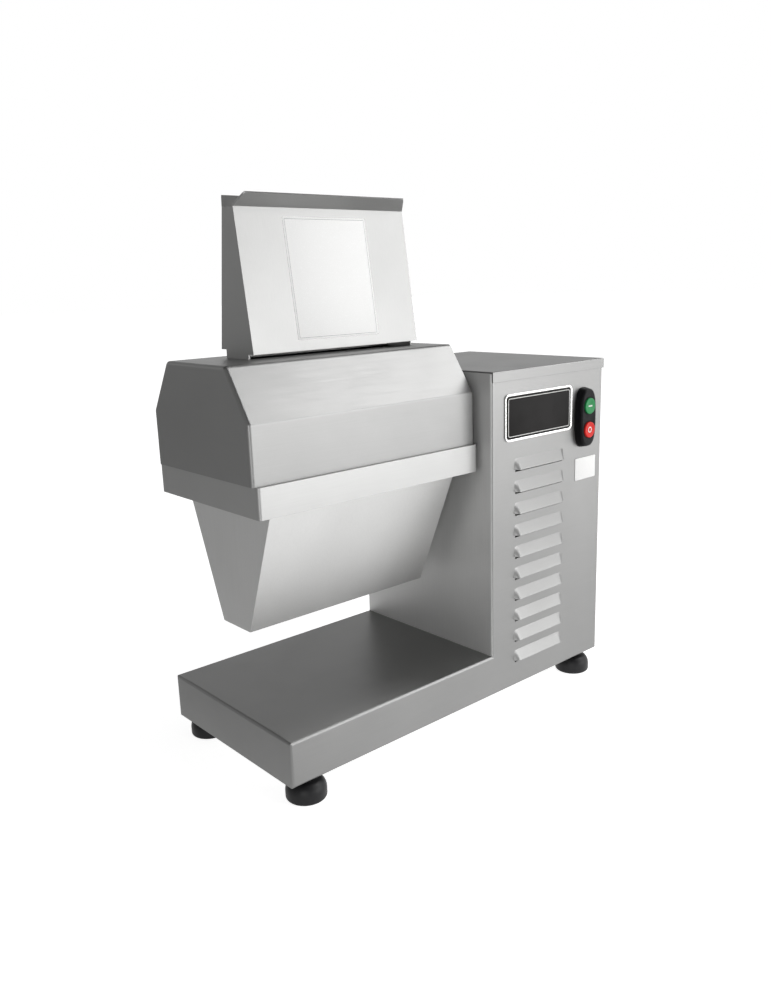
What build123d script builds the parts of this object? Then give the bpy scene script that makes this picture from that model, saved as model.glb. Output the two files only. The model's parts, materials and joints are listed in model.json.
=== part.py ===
from build123d import *
from math import acos, cos, pi, radians, sin, tan
import os

# Counter-top electric meat tenderizer. A motor and worm gearbox stand in the tower on the right
# and turn two interleaved blade rollers in the head on the left. Meat goes in through the tall
# feed chute on the hood, between the rollers, and out of the funnel over the base deck.
# Millimetres. +X runs along the base to the tower, +Y to the back, +Z up, and the origin is on
# the table under the middle of the machine.

# ---------------------------------------------------------------- driving dimensions
# Case
body_length = 460.0  # base and tower, left skirt to right wall
body_depth = 210.0
body_height = 356.0  # underside of the base to the top of the tower lid
tower_length = 189.0
base_height = 46.0
sheet = 1.5  # case sheet
bend_radius = 3.0
rim_depth = 28.0  # returned edge round the front and rear panels
lid_lip = 11.0
lid_play = 0.1
foot_height = 24.0

# Louvres in the front panel
louvre_count = 10
louvre_pitch = 24.3
louvre_length = 82.0
louvre_height = 11.8
louvre_depth = 5.0
louvre_lip = 2.5
louvre_end_slope = 3.0
louvre_inset = 35.5  # tower's left edge to the louvres
louvre_first = 31.0  # underside of the base to the lowest louvre
louvre_wall = 1.2

# Head frame, hood, feed chute and funnel
head_y = -1.0  # middle of the head, in front of the middle of the case
hood_overhang = 8.5  # past the left end of the base
hood_gap = 6.5  # hood to tower
hood_bottom = 281.0  # heights here are from the underside of the base
hood_knee = 335.0
hood_top = 383.0
hood_half_width = 83.0
hood_top_half_width = 51.5
hood_sheet = 1.5
hood_bend = 5.0
frame_height = 29.0
frame_half_width = 87.0
frame_inset = 3.0  # frame's left end inside the hood's
frame_gap = 4.0  # frame to tower, filled by the spacer
frame_wall = 2.0
frame_lip_sheet = 1.5
frame_top_lip = 5.5
frame_bottom_lip = 12.0
frame_corner = 3.0
spacer_margin = 6.0  # spacer inside the frame's outline, so it reads as a shadow gap
funnel_left = 16.0  # from the left end of the base
funnel_right_gap = 23.0  # tower to the funnel's top
funnel_right_slope = 7.0  # narrower at the bottom by this
funnel_half_top = 72.0
funnel_half_bottom = 23.6
funnel_bottom = 126.0
funnel_sheet = 1.5
funnel_flange_play = 1.0
chute_left = 42.0
chute_right_gap = 25.0  # tower to the chute
chute_offset = 6.5  # behind the middle of the head
chute_half_top = 9.25
chute_half_bottom = 27.75
chute_top = 518.5
chute_front_gap = 4.5  # hood top to the front sheet's lower edge
chute_back_gap = 8.0
chute_sheet = 1.5
tongue_notch = 9.0
tongue_depth = 32.0  # how far the side sheets reach into the hood
flare_width = 15.4
flare_angle = 45.0
flare_end_taper = 7.0
flare_corner = 5.0
locator_length = 30.0
locator_depth = 13.0
locator_sheet = 1.4
locator_inset = 62.0
locator_play = 0.3

# Blade cartridge
roller_height = 297.0  # roller axes above the underside of the base
roller_spacing = 56.0
blade_radius = 31.0
blade_tooth_depth = 5.5
blade_teeth = 14
blade_thickness = 1.6
blade_pitch = 14.0
stack_play = 0.05  # between neighbouring blades on their shaft
collar_radius = 16.0
hex_across_flats = 20.0
hex_play = 0.05
journal_radius = 8.0
shaft_play = 0.05  # radial, in bushes and bearings
plate_thickness = 6.0
plate_left = 34.0
plate_right_gap = 21.0  # tower to the right plate
plate_half_width = 77.0
plate_top = 330.0
plate_chamfer = 24.0
end_play = 1.0
shaft_tail = 3.0  # shaft past the gear
bush_wall = 4.0
bush_flange = 3.0
bush_flange_thickness = 0.8
comb_finger = 3.0
comb_gap = 1.0  # finger to collar
comb_jaw = 13.0  # finger past the roller axis, towards the nip
comb_reach = 37.0
comb_half_height = 25.0
comb_bar_thickness = 7.0
comb_bar_half_height = 14.0
tie_radius = 5.0
tie_spacing = 128.0
tie_height = 26.0  # above the roller axes
gear_teeth = 16
gear_module = 3.5
gear_width = 14.0
gear_backlash = 0.35
gear_gap = 3.0  # gear to cartridge plate
pressure_angle = 20.0
gear_addendum = 0.9  # in modules
gear_dedendum = 1.25
gear_hub_radius = 13.0
gear_rim_radius = 20.0
gear_web = 3.0  # recess in each face of a gear
tongue_thickness = 8.0
tongue_length = 8.0
dog_radius = 14.0
dog_length = 22.0
dog_play = 0.1

# Drive in the tower
stiffener_thickness = 6.0
stiffener_play = 1.0  # to the folded rims at its front and rear
stiffener_bottom = 246.0
stiffener_top = 337.0
wall_hole_play = 2.5
output_radius = 9.0
gearbox_offset = 69.0  # tower's left face to the middle of the gearbox
gearbox_width = 80.0
gearbox_margin = 46.0  # housing round the wheel axis
gearbox_corner = 12.0
gearbox_wall = 12.0  # housing behind the worm
gearbox_flange_radius = 36.0
gearbox_flange_thickness = 6.0
gearbox_neck_radius = 24.0
gearbox_bolt_radius = 30.0  # circle of the four gearbox bolts
worm_distance = 50.0
worm_radius = 13.5
worm_length = 44.0
worm_shaft_tip = 8.0  # motor shaft past the worm
wheel_width = 22.0
mesh_gap = 0.5
cavity_play = 4.0
cover_thickness = 6.0
bearing_radius = 17.5
bearing_width = 11.0
bearing_wall = 8.0
motor_radius = 57.0
fin_height = 4.5
fin_thickness = 3.0
fin_count = 22
fin_sector = 38.0  # no fins within this angle of the terminal box
motor_length = 150.0
motor_flange_thickness = 9.0
motor_flange_radius = 60.0
motor_shaft_radius = 7.0
rotor_radius = 30.0
rotor_length = 90.0
rotor_gap = 0.6
shield_thickness = 9.0
cowl_length = 52.0
cowl_sheet = 1.5
cowl_overlap = 8.0
cowl_round = 4.5
fan_radius = 46.0
fan_height = 22.0
fan_blades = 6
fan_hub_radius = 14.0
fan_disc = 2.5
fan_blade_thickness = 2.5
fan_blade_overlap = 1.0  # into the hub and past the disc
cowl_slots = 8
cowl_slot_width = 6.0
terminal_depth = 26.0
terminal_height = 70.0
terminal_width = 64.0
capacitor_radius = 20.0
capacitor_height = 78.0

# Controls
switch_height = 292.0
switch_inset = 36.5  # from the tower's right edge
bezel_width = 30.0
bezel_height = 69.0
bezel_depth = 9.5
bezel_round = 2.5
button_radius = 9.0
button_spacing = 27.0
button_play = 0.3
button_proud = 1.6
button_travel = 3.0
button_length = 8.0
button_round = 0.8
stem_radius = 3.0
block_width = 28.0
block_height = 58.0
block_depth = 30.0
sensor_height = 345.0
sensor_length = 20.0
sensor_size = 12.0
magnet_thickness = 6.0
sensor_thickness = 9.0

# Feet, fasteners and cord gland
foot_radius = 20.0
foot_inset_x = 26.0
foot_inset_y = 16.5
foot_dome = 20.5
foot_flat_radius = 16.4
foot_side_height = 6.2
foot_top_radius = 10.0
foot_recess = 8.0
stud_radius = 4.0
stud_length = 26.0
nut_radius = 7.5
nut_height = 6.0
screw_radius = 2.5
screw_head_radius = 4.5
screw_head_height = 2.5
screw_inset_x = 78.0  # bottom plate screws, from each end
head_bolt_radius = 4.0
bolt_head_height = 5.0
head_bolt_spacing = 120.0
hole_play = 0.2
gland_radius = 12.0
gland_thread = 9.0
gland_bore = 4.5
gland_height = 70.0
gland_inset = 34.0
gland_outer = 11.0
gland_inner = 14.0

# ---------------------------------------------------------------- places worked out from them
left = (hood_overhang - body_length - lid_play - sheet) / 2  # left end of the base
right = left + body_length
tower_left = right - tower_length
front = -body_depth / 2
rear = body_depth / 2
under = foot_height  # underside of the base
deck_top = under + base_height
lid_top = under + body_height
rim_top = lid_top - sheet
seam_front = front + rim_depth  # where the folded rims of the two panels end
seam_rear = rear - rim_depth

hood_left = left - hood_overhang
hood_right = tower_left - hood_gap
frame_left = hood_left + frame_inset
frame_right = tower_left - frame_gap
frame_top = under + hood_bottom
frame_bottom = frame_top - frame_height
flange_top = frame_bottom + frame_lip_sheet + funnel_sheet  # cartridge plates stand here

roller_z = under + roller_height
front_axis_y = head_y - roller_spacing / 2
rear_axis_y = head_y + roller_spacing / 2
chute_y = head_y + chute_offset
plate_left_x = left + plate_left
plate_right_x = tower_left - plate_right_gap
stack_left = plate_left_x + plate_thickness + end_play
stack_right = plate_right_x - end_play
gear_x = plate_left_x - gear_gap - gear_width
tongue_x = plate_right_x + plate_thickness + end_play + bush_flange_thickness

gearbox_x = tower_left + gearbox_offset
gearbox_left = gearbox_x - gearbox_width / 2
gearbox_right = gearbox_x + gearbox_width / 2
gearbox_floor = roller_z - gearbox_margin
worm_y = front_axis_y + worm_distance
stiffener_x = tower_left + sheet
flange_x = stiffener_x + stiffener_thickness
motor_top = gearbox_floor
motor_floor = motor_top - motor_flange_thickness - motor_length
bearing_bore = motor_shaft_radius + shaft_play

switch_x = right - switch_inset
switch_z = under + switch_height
button_z = {"start": switch_z + button_spacing / 2, "stop": switch_z - button_spacing / 2}


# ---------------------------------------------------------------- helpers
def write(part, name):
    """Label a finished piece and write it as one STEP file."""
    part.label = name
    export_step(part, f"parts/{name}.step")


def plate(x0, x1, y0, y1, z0, z1):
    """A rectangular blank between two corners, as an extruded sketch."""
    with BuildPart() as blank:
        with BuildSketch(Plane.XY.offset(z0)):
            with Locations(((x0 + x1) / 2, (y0 + y1) / 2)):
                Rectangle(x1 - x0, y1 - y0)
        extrude(amount=z1 - z0)
    return blank.part


def rod(axis_plane, start, end, radius):
    """A round bar along a plane's normal, between two distances from the plane."""
    with BuildPart() as bar:
        with BuildSketch(axis_plane.offset(start)):
            Circle(radius)
        extrude(amount=end - start)
    return bar.part


def x_axis(y, z):
    """A plane across X with its origin on the line at y and z."""
    return Plane(origin=(0, y, z), x_dir=(0, 1, 0), z_dir=(1, 0, 0))


def z_axis(x, y):
    return Plane(origin=(x, y, 0), x_dir=(1, 0, 0), z_dir=(0, 0, 1))


def y_axis(x, z):
    """A plane across Y, looking at the back of the machine."""
    return Plane(origin=(x, 0, z), x_dir=(-1, 0, 0), z_dir=(0, 1, 0))


os.makedirs("parts", exist_ok=True)

# ---------------------------------------------------------------- case: front and rear panels
louvre_x = tower_left + louvre_inset + louvre_length / 2
louvre_places = [
    (louvre_x, front, under + louvre_first + i * louvre_pitch) for i in range(louvre_count)
]


def louvre_form(length, height, depth, lip, slope):
    """A louvre's wedge: full size at the sheet, narrowed to its lip, flat underneath."""
    with BuildPart() as form:
        with BuildSketch(Plane.XZ):
            with Locations((0, height / 2)):
                Rectangle(length, height)
        with BuildSketch(Plane.XZ.offset(depth)):
            with Locations((0, lip / 2)):
                Rectangle(length - 2 * slope, lip)
        loft(ruled=True)
    return form.part


louvre_outside = louvre_form(louvre_length, louvre_height, louvre_depth, louvre_lip, louvre_end_slope)
louvre_inside = louvre_form(
    louvre_length - 2 * louvre_wall,
    louvre_height - louvre_wall,
    louvre_depth - louvre_wall,
    louvre_lip,
    louvre_end_slope,
)


# the L of base and tower, in the plane of the front and rear panels
with BuildSketch() as side_profile:
    with BuildLine():
        Polyline(
            (left, under),
            (right, under),
            (right, rim_top),
            (tower_left, rim_top),
            (tower_left, deck_top),
            (left, deck_top),
            close=True,
        )
    make_face()


foot_places = [
    (x, y)
    for x in (left + foot_inset_x, right - foot_inset_x)
    for y in (front + foot_inset_y, rear - foot_inset_y)
]
screw_places = [
    (x, y)
    for x in (left + screw_inset_x, right - screw_inset_x)
    for y in (front + foot_inset_y, rear - foot_inset_y)
]

with BuildPart() as front_panel:
    with BuildSketch(Plane.XZ.offset(-front)):
        add(side_profile.sketch)
    extrude(amount=-rim_depth)
    fillet(front_panel.faces().sort_by(Axis.Y)[0].edges(), bend_radius)
    offset(amount=-sheet, openings=front_panel.faces().sort_by(Axis.Y)[-1])
    with Locations(*louvre_places):
        add(louvre_outside)
    with Locations(*louvre_places):
        add(louvre_inside, mode=Mode.SUBTRACT)
        with Locations((0, sheet / 2, (louvre_height - louvre_wall) / 2)):
            Box(
                louvre_length - 2 * louvre_wall,
                2 * sheet,
                louvre_height - louvre_wall,
                mode=Mode.SUBTRACT,
            )
    for z in button_z.values():
        with BuildSketch(Plane(origin=(switch_x, front, z), x_dir=(1, 0, 0), z_dir=(0, -1, 0))):
            Circle(stem_radius + sheet)
        extrude(amount=-2 * sheet, mode=Mode.SUBTRACT)
    with BuildSketch(Plane.XY.offset(under)):
        with Locations(*[p for p in foot_places if p[1] < 0]):
            Circle(stud_radius + hole_play)
        with Locations(*[p for p in screw_places if p[1] < 0]):
            Circle(screw_radius + hole_play)
    extrude(amount=2 * sheet, mode=Mode.SUBTRACT)
write(front_panel.part, "front_panel")

with BuildPart() as rear_panel:
    with BuildSketch(Plane.XZ.offset(-rear)):
        add(side_profile.sketch)
    extrude(amount=rim_depth)
    fillet(rear_panel.faces().sort_by(Axis.Y)[-1].edges(), bend_radius)
    offset(amount=-sheet, openings=rear_panel.faces().sort_by(Axis.Y)[0])
    with BuildSketch(y_axis(right - gland_inset, under + gland_height).offset(rear - 2 * sheet)):
        Circle(gland_thread + hole_play)
    extrude(amount=4 * sheet, mode=Mode.SUBTRACT)
    with BuildSketch(Plane.XY.offset(under)):
        with Locations(*[p for p in foot_places if p[1] > 0]):
            Circle(stud_radius + hole_play)
        with Locations(*[p for p in screw_places if p[1] > 0]):
            Circle(screw_radius + hole_play)
    extrude(amount=2 * sheet, mode=Mode.SUBTRACT)
write(rear_panel.part, "rear_panel")

# ---------------------------------------------------------------- case: deck, walls, lid, bottom
with BuildPart() as base_deck:
    with BuildSketch(Plane.XZ.offset(-seam_front)):
        with BuildLine():
            outer = FilletPolyline(
                (left, under), (left, deck_top), (tower_left, deck_top), radius=bend_radius
            )
            inner = FilletPolyline(
                (left + sheet, under),
                (left + sheet, deck_top - sheet),
                (tower_left, deck_top - sheet),
                radius=bend_radius - sheet,
            )
            Line(outer @ 0, inner @ 0)
            Line(outer @ 1, inner @ 1)
        make_face()
    extrude(amount=seam_front - seam_rear)
write(base_deck.part, "base_deck")

with BuildPart() as tower_inner_wall:
    add(plate(tower_left, tower_left + sheet, seam_front, seam_rear, deck_top - sheet, rim_top))
    with BuildSketch(x_axis(front_axis_y, roller_z).offset(tower_left)):
        Circle(dog_radius + wall_hole_play)
    extrude(amount=sheet, mode=Mode.SUBTRACT)
    with BuildSketch(x_axis(head_y, (frame_bottom + frame_top) / 2).offset(tower_left)):
        with GridLocations(head_bolt_spacing, frame_height / 2, 2, 1):
            Circle(head_bolt_radius + hole_play)
    extrude(amount=sheet, mode=Mode.SUBTRACT)
write(tower_inner_wall.part, "tower_inner_wall")

with BuildPart() as tower_outer_wall:
    add(plate(right - sheet, right, seam_front, seam_rear, under, rim_top))
write(tower_outer_wall.part, "tower_outer_wall")

with BuildPart() as tower_lid:
    add(plate(tower_left, right + lid_play + sheet, front - lid_play - sheet, rear + lid_play + sheet,
              lid_top - lid_lip, lid_top))
    rounded = tower_lid.edges().filter_by(Axis.Z).sort_by(Axis.X)[-2:]
    fillet(rounded, bend_radius)
    fillet(tower_lid.faces().sort_by(Axis.Z)[-1].edges(), sheet)
    add(plate(tower_left - sheet, right + lid_play, front - lid_play, rear + lid_play,
              lid_top - 2 * lid_lip, lid_top - sheet), mode=Mode.SUBTRACT)
write(tower_lid.part, "tower_lid")

with BuildPart() as bottom_plate:
    add(plate(left + bend_radius, right - bend_radius, front + bend_radius, rear - bend_radius,
              under + sheet, under + 2 * sheet))
    with BuildSketch(Plane.XY.offset(under + sheet)):
        with Locations(*foot_places):
            Circle(stud_radius + hole_play)
        with Locations(*screw_places):
            Circle(screw_radius + hole_play)
    extrude(amount=sheet, mode=Mode.SUBTRACT)
write(bottom_plate.part, "bottom_plate")

with BuildPart() as bottom_screws:
    with BuildSketch(Plane.XY.offset(under - screw_head_height)):
        with Locations(*screw_places):
            Circle(screw_head_radius)
    extrude(amount=screw_head_height)
    with BuildSketch(Plane.XY.offset(under)):
        with Locations(*screw_places):
            Circle(screw_radius)
    extrude(amount=4 * sheet)
write(bottom_screws.part, "bottom_screws")

# ---------------------------------------------------------------- feet
foot_names = ["foot_front_left", "foot_rear_left", "foot_front_right", "foot_rear_right"]
for foot_name, place in zip(foot_names, foot_places):
    with BuildPart() as foot:
        with BuildSketch(Plane(origin=(place[0], place[1], 0), x_dir=(1, 0, 0), z_dir=(0, -1, 0))):
            with BuildLine():
                Polyline((0, 0), (foot_flat_radius, 0), (foot_radius, foot_side_height))
                TangentArc((foot_radius, foot_side_height), (foot_top_radius, foot_dome), tangent=(0, 1))
                Polyline((foot_top_radius, foot_dome), (0, foot_dome), (0, 0))
            make_face()
        revolve(axis=Axis(origin=(place[0], place[1], 0), direction=(0, 0, 1)))
        with BuildSketch(Plane.XY.offset(foot_dome - foot_recess)):
            with Locations(place):
                Circle(stud_radius)
        extrude(amount=foot_recess, mode=Mode.SUBTRACT)
    write(foot.part, foot_name)

with BuildPart() as foot_studs:
    with BuildSketch(Plane.XY.offset(foot_dome - foot_recess)):
        with Locations(*foot_places):
            Circle(stud_radius)
    extrude(amount=stud_length)
write(foot_studs.part, "foot_studs")

with BuildPart() as foot_nuts:
    for nut_z, height in ((foot_dome, under - foot_dome), (under + 2 * sheet, nut_height)):
        with BuildSketch(Plane.XY.offset(nut_z)):
            with Locations(*foot_places):
                RegularPolygon(nut_radius, 6)
                Circle(stud_radius, mode=Mode.SUBTRACT)
        extrude(amount=height)
write(foot_nuts.part, "foot_nuts")

# ---------------------------------------------------------------- head frame and its fixing
frame_middle_x = (frame_left + frame_right) / 2
frame_length = frame_right - frame_left

with BuildPart() as head_frame:
    add(plate(frame_left, frame_right, head_y - frame_half_width, head_y + frame_half_width,
              frame_bottom, frame_top))
    fillet(head_frame.edges().filter_by(Axis.Z), frame_corner)
    for z0, z1, lip in (
        (frame_bottom, frame_bottom + frame_lip_sheet, frame_bottom_lip),
        (frame_bottom + frame_lip_sheet, frame_top - frame_lip_sheet, frame_wall),
        (frame_top - frame_lip_sheet, frame_top, frame_top_lip),
    ):
        with BuildSketch(Plane.XY.offset(z0)):
            with Locations((frame_middle_x, head_y)):
                Rectangle(frame_length - 2 * lip, 2 * (frame_half_width - lip))
        extrude(amount=z1 - z0, mode=Mode.SUBTRACT)
    with BuildSketch(x_axis(head_y, (frame_bottom + frame_top) / 2).offset(frame_right - frame_wall)):
        with GridLocations(head_bolt_spacing, frame_height / 2, 2, 1):
            Circle(head_bolt_radius + hole_play)
    extrude(amount=frame_wall, mode=Mode.SUBTRACT)
write(head_frame.part, "head_frame")

with BuildPart() as head_spacer:
    add(plate(frame_right, tower_left,
              head_y - frame_half_width + spacer_margin, head_y + frame_half_width - spacer_margin,
              frame_bottom + spacer_margin, frame_top - spacer_margin))
    with BuildSketch(x_axis(head_y, (frame_bottom + frame_top) / 2).offset(frame_right)):
        with GridLocations(head_bolt_spacing, frame_height / 2, 2, 1):
            Circle(head_bolt_radius + hole_play)
    extrude(amount=frame_gap, mode=Mode.SUBTRACT)
write(head_spacer.part, "head_spacer")

with BuildPart() as tower_stiffener:
    add(plate(stiffener_x, flange_x, seam_front + stiffener_play, seam_rear - stiffener_play,
              under + stiffener_bottom, under + stiffener_top))
    with BuildSketch(x_axis(head_y, (frame_bottom + frame_top) / 2).offset(stiffener_x)):
        with GridLocations(head_bolt_spacing, frame_height / 2, 2, 1):
            Circle(head_bolt_radius + hole_play)
    extrude(amount=stiffener_thickness, mode=Mode.SUBTRACT)
    with BuildSketch(x_axis(front_axis_y, roller_z).offset(stiffener_x)):
        Circle(dog_radius + wall_hole_play)
        with PolarLocations(gearbox_bolt_radius, 4, start_angle=45):
            Circle(screw_radius)
    extrude(amount=stiffener_thickness, mode=Mode.SUBTRACT)
write(tower_stiffener.part, "tower_stiffener")

with BuildPart() as head_bolts:
    bolt_plane = x_axis(head_y, (frame_bottom + frame_top) / 2)
    with BuildSketch(bolt_plane.offset(frame_right - frame_wall - bolt_head_height)):
        with GridLocations(head_bolt_spacing, frame_height / 2, 2, 1):
            RegularPolygon(nut_radius, 6)
    extrude(amount=bolt_head_height)
    with BuildSketch(bolt_plane.offset(frame_right - frame_wall)):
        with GridLocations(head_bolt_spacing, frame_height / 2, 2, 1):
            Circle(head_bolt_radius)
    extrude(amount=flange_x - frame_right + frame_wall + nut_height + 2 * sheet)
write(head_bolts.part, "head_bolts")

with BuildPart() as head_nuts:
    with BuildSketch(bolt_plane.offset(flange_x)):
        with GridLocations(head_bolt_spacing, frame_height / 2, 2, 1):
            RegularPolygon(nut_radius, 6)
            Circle(head_bolt_radius, mode=Mode.SUBTRACT)
    extrude(amount=nut_height)
write(head_nuts.part, "head_nuts")

# ---------------------------------------------------------------- funnel under the rollers
funnel_top = frame_bottom + frame_lip_sheet
funnel_length = tower_left - funnel_right_gap - left - funnel_left
flange_reach = frame_top_lip + funnel_flange_play


def funnel_form(inset, top, bottom):
    """The tapering funnel: upright on the left, sloped on the other three sides."""
    with BuildPart() as form:
        for z, length, half in (
            (top, funnel_length, funnel_half_top),
            (bottom, funnel_length - funnel_right_slope, funnel_half_bottom),
        ):
            with BuildSketch(Plane.XY.offset(z)):
                with Locations((left + funnel_left + length / 2, head_y)):
                    Rectangle(length - 2 * inset, 2 * (half - inset))
        loft(ruled=True)
    return form.part


with BuildPart() as funnel:
    add(funnel_form(0, funnel_top, under + funnel_bottom))
    add(plate(frame_left + flange_reach, frame_right - flange_reach,
              head_y - frame_half_width + flange_reach, head_y + frame_half_width - flange_reach,
              funnel_top, flange_top))
    add(funnel_form(funnel_sheet, funnel_top, under + funnel_bottom), mode=Mode.SUBTRACT)
    with BuildSketch(Plane.XY.offset(funnel_top)):
        with Locations((left + funnel_left + funnel_length / 2, head_y)):
            Rectangle(funnel_length - 2 * funnel_sheet, 2 * (funnel_half_top - funnel_sheet))
    extrude(amount=funnel_sheet, mode=Mode.SUBTRACT)
write(funnel.part, "funnel")

# ---------------------------------------------------------------- hood and feed chute
chute_front_z = under + hood_top + chute_front_gap
chute_back_z = under + hood_top + chute_back_gap
chute_length = tower_left - chute_right_gap - left - chute_left
chute_x = left + chute_left + chute_length / 2
tongue_half = chute_half_bottom - tongue_notch
hood_inner_half = hood_half_width - hood_sheet

with BuildPart() as hood:
    with BuildSketch(x_axis(head_y, under).offset(hood_left)):
        with BuildLine():
            Polyline(
                (-hood_half_width, hood_bottom),
                (hood_half_width, hood_bottom),
                (hood_half_width, hood_knee),
                (hood_top_half_width, hood_top),
                (-hood_top_half_width, hood_top),
                (-hood_half_width, hood_knee),
                close=True,
            )
        make_face()
    extrude(amount=hood_right - hood_left)
    bottom_edges, knee_edges, top_edges = hood.edges().filter_by(Axis.X).group_by(Axis.Z)
    fillet(knee_edges + top_edges, hood_bend)
    left_end = hood.faces().sort_by(Axis.X)[0]
    fillet(left_end.edges().sort_by(Axis.Z)[1:], hood_bend - hood_sheet)
    offset(amount=-hood_sheet, openings=hood.faces().sort_by(Axis.Z)[0])
    # opening for the feed chute's tongues
    with BuildSketch(Plane.XY.offset(under + hood_top - 2 * hood_sheet)):
        with Locations((chute_x, chute_y)):
            Rectangle(chute_length, 2 * tongue_half)
    extrude(amount=3 * hood_sheet, mode=Mode.SUBTRACT)
    # open slot in the right end, so that the hood lifts off over the drive coupling
    with BuildSketch(x_axis(front_axis_y, roller_z).offset(hood_right - 2 * hood_sheet)):
        Circle(dog_radius + wall_hole_play)
        with Locations((0, (frame_top - roller_z) / 2)):
            Rectangle(2 * (dog_radius + wall_hole_play), roller_z - frame_top)
    extrude(amount=3 * hood_sheet, mode=Mode.SUBTRACT)
    # locating tabs inside the long walls, which drop into the head frame
    for side in (-1, 1):
        for tab_x in (hood_left + locator_inset, hood_right - locator_inset):
            weld = head_y + side * hood_inner_half
            inner = head_y + side * (hood_inner_half - locator_sheet - locator_play)
            outer = head_y + side * (hood_inner_half - locator_play)
            add(plate(tab_x - locator_length / 2, tab_x + locator_length / 2,
                      min(weld, inner), max(weld, inner), frame_top, frame_top + locator_depth))
            add(plate(tab_x - locator_length / 2, tab_x + locator_length / 2,
                      min(outer, inner), max(outer, inner), frame_top - locator_depth, frame_top))
write(hood.part, "hood")


def chute_form(inset, low):
    """The feed chute's narrowing body, open at both ends once a smaller one is taken out."""
    with BuildPart() as form:
        slope = (chute_half_bottom - chute_half_top) / (under + chute_top - chute_front_z)
        for z in (low, under + chute_top):
            half = chute_half_top + slope * (under + chute_top - z)
            with BuildSketch(Plane.XY.offset(z)):
                with Locations((chute_x, chute_y)):
                    Rectangle(chute_length - 2 * inset, 2 * (half - inset))
        loft(ruled=True)
    return form.part


flare_rise = flare_width * sin(radians(flare_angle))
flare_run = flare_width * cos(radians(flare_angle))


def flare(half_length):
    """One flared lip, drawn pointing along +Y from the chute's top edge and centred on X."""
    normal_y = -sin(radians(flare_angle)) * chute_sheet
    normal_z = cos(radians(flare_angle)) * chute_sheet
    inner_bend = chute_sheet * tan(radians(90 - flare_angle) / 2)
    with BuildPart() as lip:
        with BuildSketch(Plane.YZ.offset(-half_length)):
            with BuildLine():
                Polyline(
                    (0, 0),
                    (flare_run, flare_rise),
                    (flare_run + normal_y, flare_rise + normal_z),
                    (-chute_sheet, inner_bend),
                    (-chute_sheet, -chute_sheet),
                    (0, -chute_sheet),
                    close=True,
                )
            make_face()
        extrude(amount=2 * half_length)
        with BuildSketch(Plane.XY.offset(-chute_sheet)) as outline:
            with BuildLine():
                Polyline(
                    (-half_length, -chute_sheet),
                    (-half_length, 0),
                    (flare_end_taper - half_length, flare_run),
                    (half_length - flare_end_taper, flare_run),
                    (half_length, 0),
                    (half_length, -chute_sheet),
                    close=True,
                )
            make_face()
            fillet(outline.vertices().group_by(Axis.Y)[-1], flare_corner)
        extrude(amount=flare_rise + 3 * chute_sheet, mode=Mode.INTERSECT)
    return lip.part


with BuildPart() as feed_chute:
    add(chute_form(0, chute_front_z))
    # side sheets reach down through the hood as tongues
    tongue_low = under + hood_top - tongue_depth
    add(plate(chute_x - chute_length / 2, chute_x + chute_length / 2,
              chute_y - tongue_half, chute_y + tongue_half, tongue_low, chute_front_z + chute_sheet))
    add(chute_form(chute_sheet, chute_front_z), mode=Mode.SUBTRACT)
    add(plate(chute_x - chute_length / 2 + chute_sheet, chute_x + chute_length / 2 - chute_sheet,
              chute_y - chute_half_bottom, chute_y + chute_half_bottom,
              tongue_low - chute_sheet, chute_front_z), mode=Mode.SUBTRACT)
    # the back sheet stops a little higher than the front one
    add(plate(chute_x - chute_length, chute_x + chute_length,
              chute_y + tongue_half, chute_y + 2 * chute_half_bottom,
              chute_front_z - chute_sheet, chute_back_z), mode=Mode.SUBTRACT)
    long_lip = flare(chute_length / 2)
    for side in (-1, 1):
        top_edge = (chute_x, chute_y + side * chute_half_top, under + chute_top)
        add(Plane(origin=top_edge, x_dir=(side, 0, 0), z_dir=(0, 0, 1)) * long_lip)
write(feed_chute.part, "feed_chute")

# ---------------------------------------------------------------- blade cartridge: plates and ties
bush_radius = journal_radius + shaft_play + bush_wall
tie_length = plate_right_x - plate_left_x - plate_thickness


def cartridge_plate(x):
    """An end plate of the cartridge, with holes for two bushes and the tie rods' screws."""
    with BuildPart() as side:
        with BuildSketch(x_axis(head_y, (flange_top + under + plate_top) / 2).offset(x)):
            Rectangle(2 * plate_half_width, under + plate_top - flange_top)
        extrude(amount=plate_thickness)
        chamfer(side.edges().filter_by(Axis.X).group_by(Axis.Z)[-1], plate_chamfer)
        with BuildSketch(x_axis(head_y, roller_z).offset(x)):
            with GridLocations(roller_spacing, roller_spacing, 2, 1):
                Circle(bush_radius)
            with Locations((-tie_spacing / 2, tie_height), (tie_spacing / 2, tie_height)):
                Circle(screw_radius)
        extrude(amount=plate_thickness, mode=Mode.SUBTRACT)
    return side.part


write(cartridge_plate(plate_left_x), "cartridge_plate_left")
write(cartridge_plate(plate_right_x), "cartridge_plate_right")

with BuildPart() as cartridge_ties:
    tie_plane = x_axis(head_y, roller_z + tie_height)
    with BuildSketch(tie_plane.offset(plate_left_x + plate_thickness)):
        with GridLocations(tie_spacing, tie_spacing, 2, 1):
            Circle(tie_radius)
    extrude(amount=tie_length)
    with BuildSketch(tie_plane.offset(plate_left_x - screw_head_height)):
        with GridLocations(tie_spacing, tie_spacing, 2, 1):
            Circle(screw_radius)
    extrude(amount=plate_right_x + plate_thickness + 2 * screw_head_height - plate_left_x)
    for head_x in (plate_left_x - screw_head_height, plate_right_x + plate_thickness):
        with BuildSketch(tie_plane.offset(head_x)):
            with GridLocations(tie_spacing, tie_spacing, 2, 1):
                Circle(screw_head_radius)
        extrude(amount=screw_head_height)
write(cartridge_ties.part, "cartridge_ties")

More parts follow.
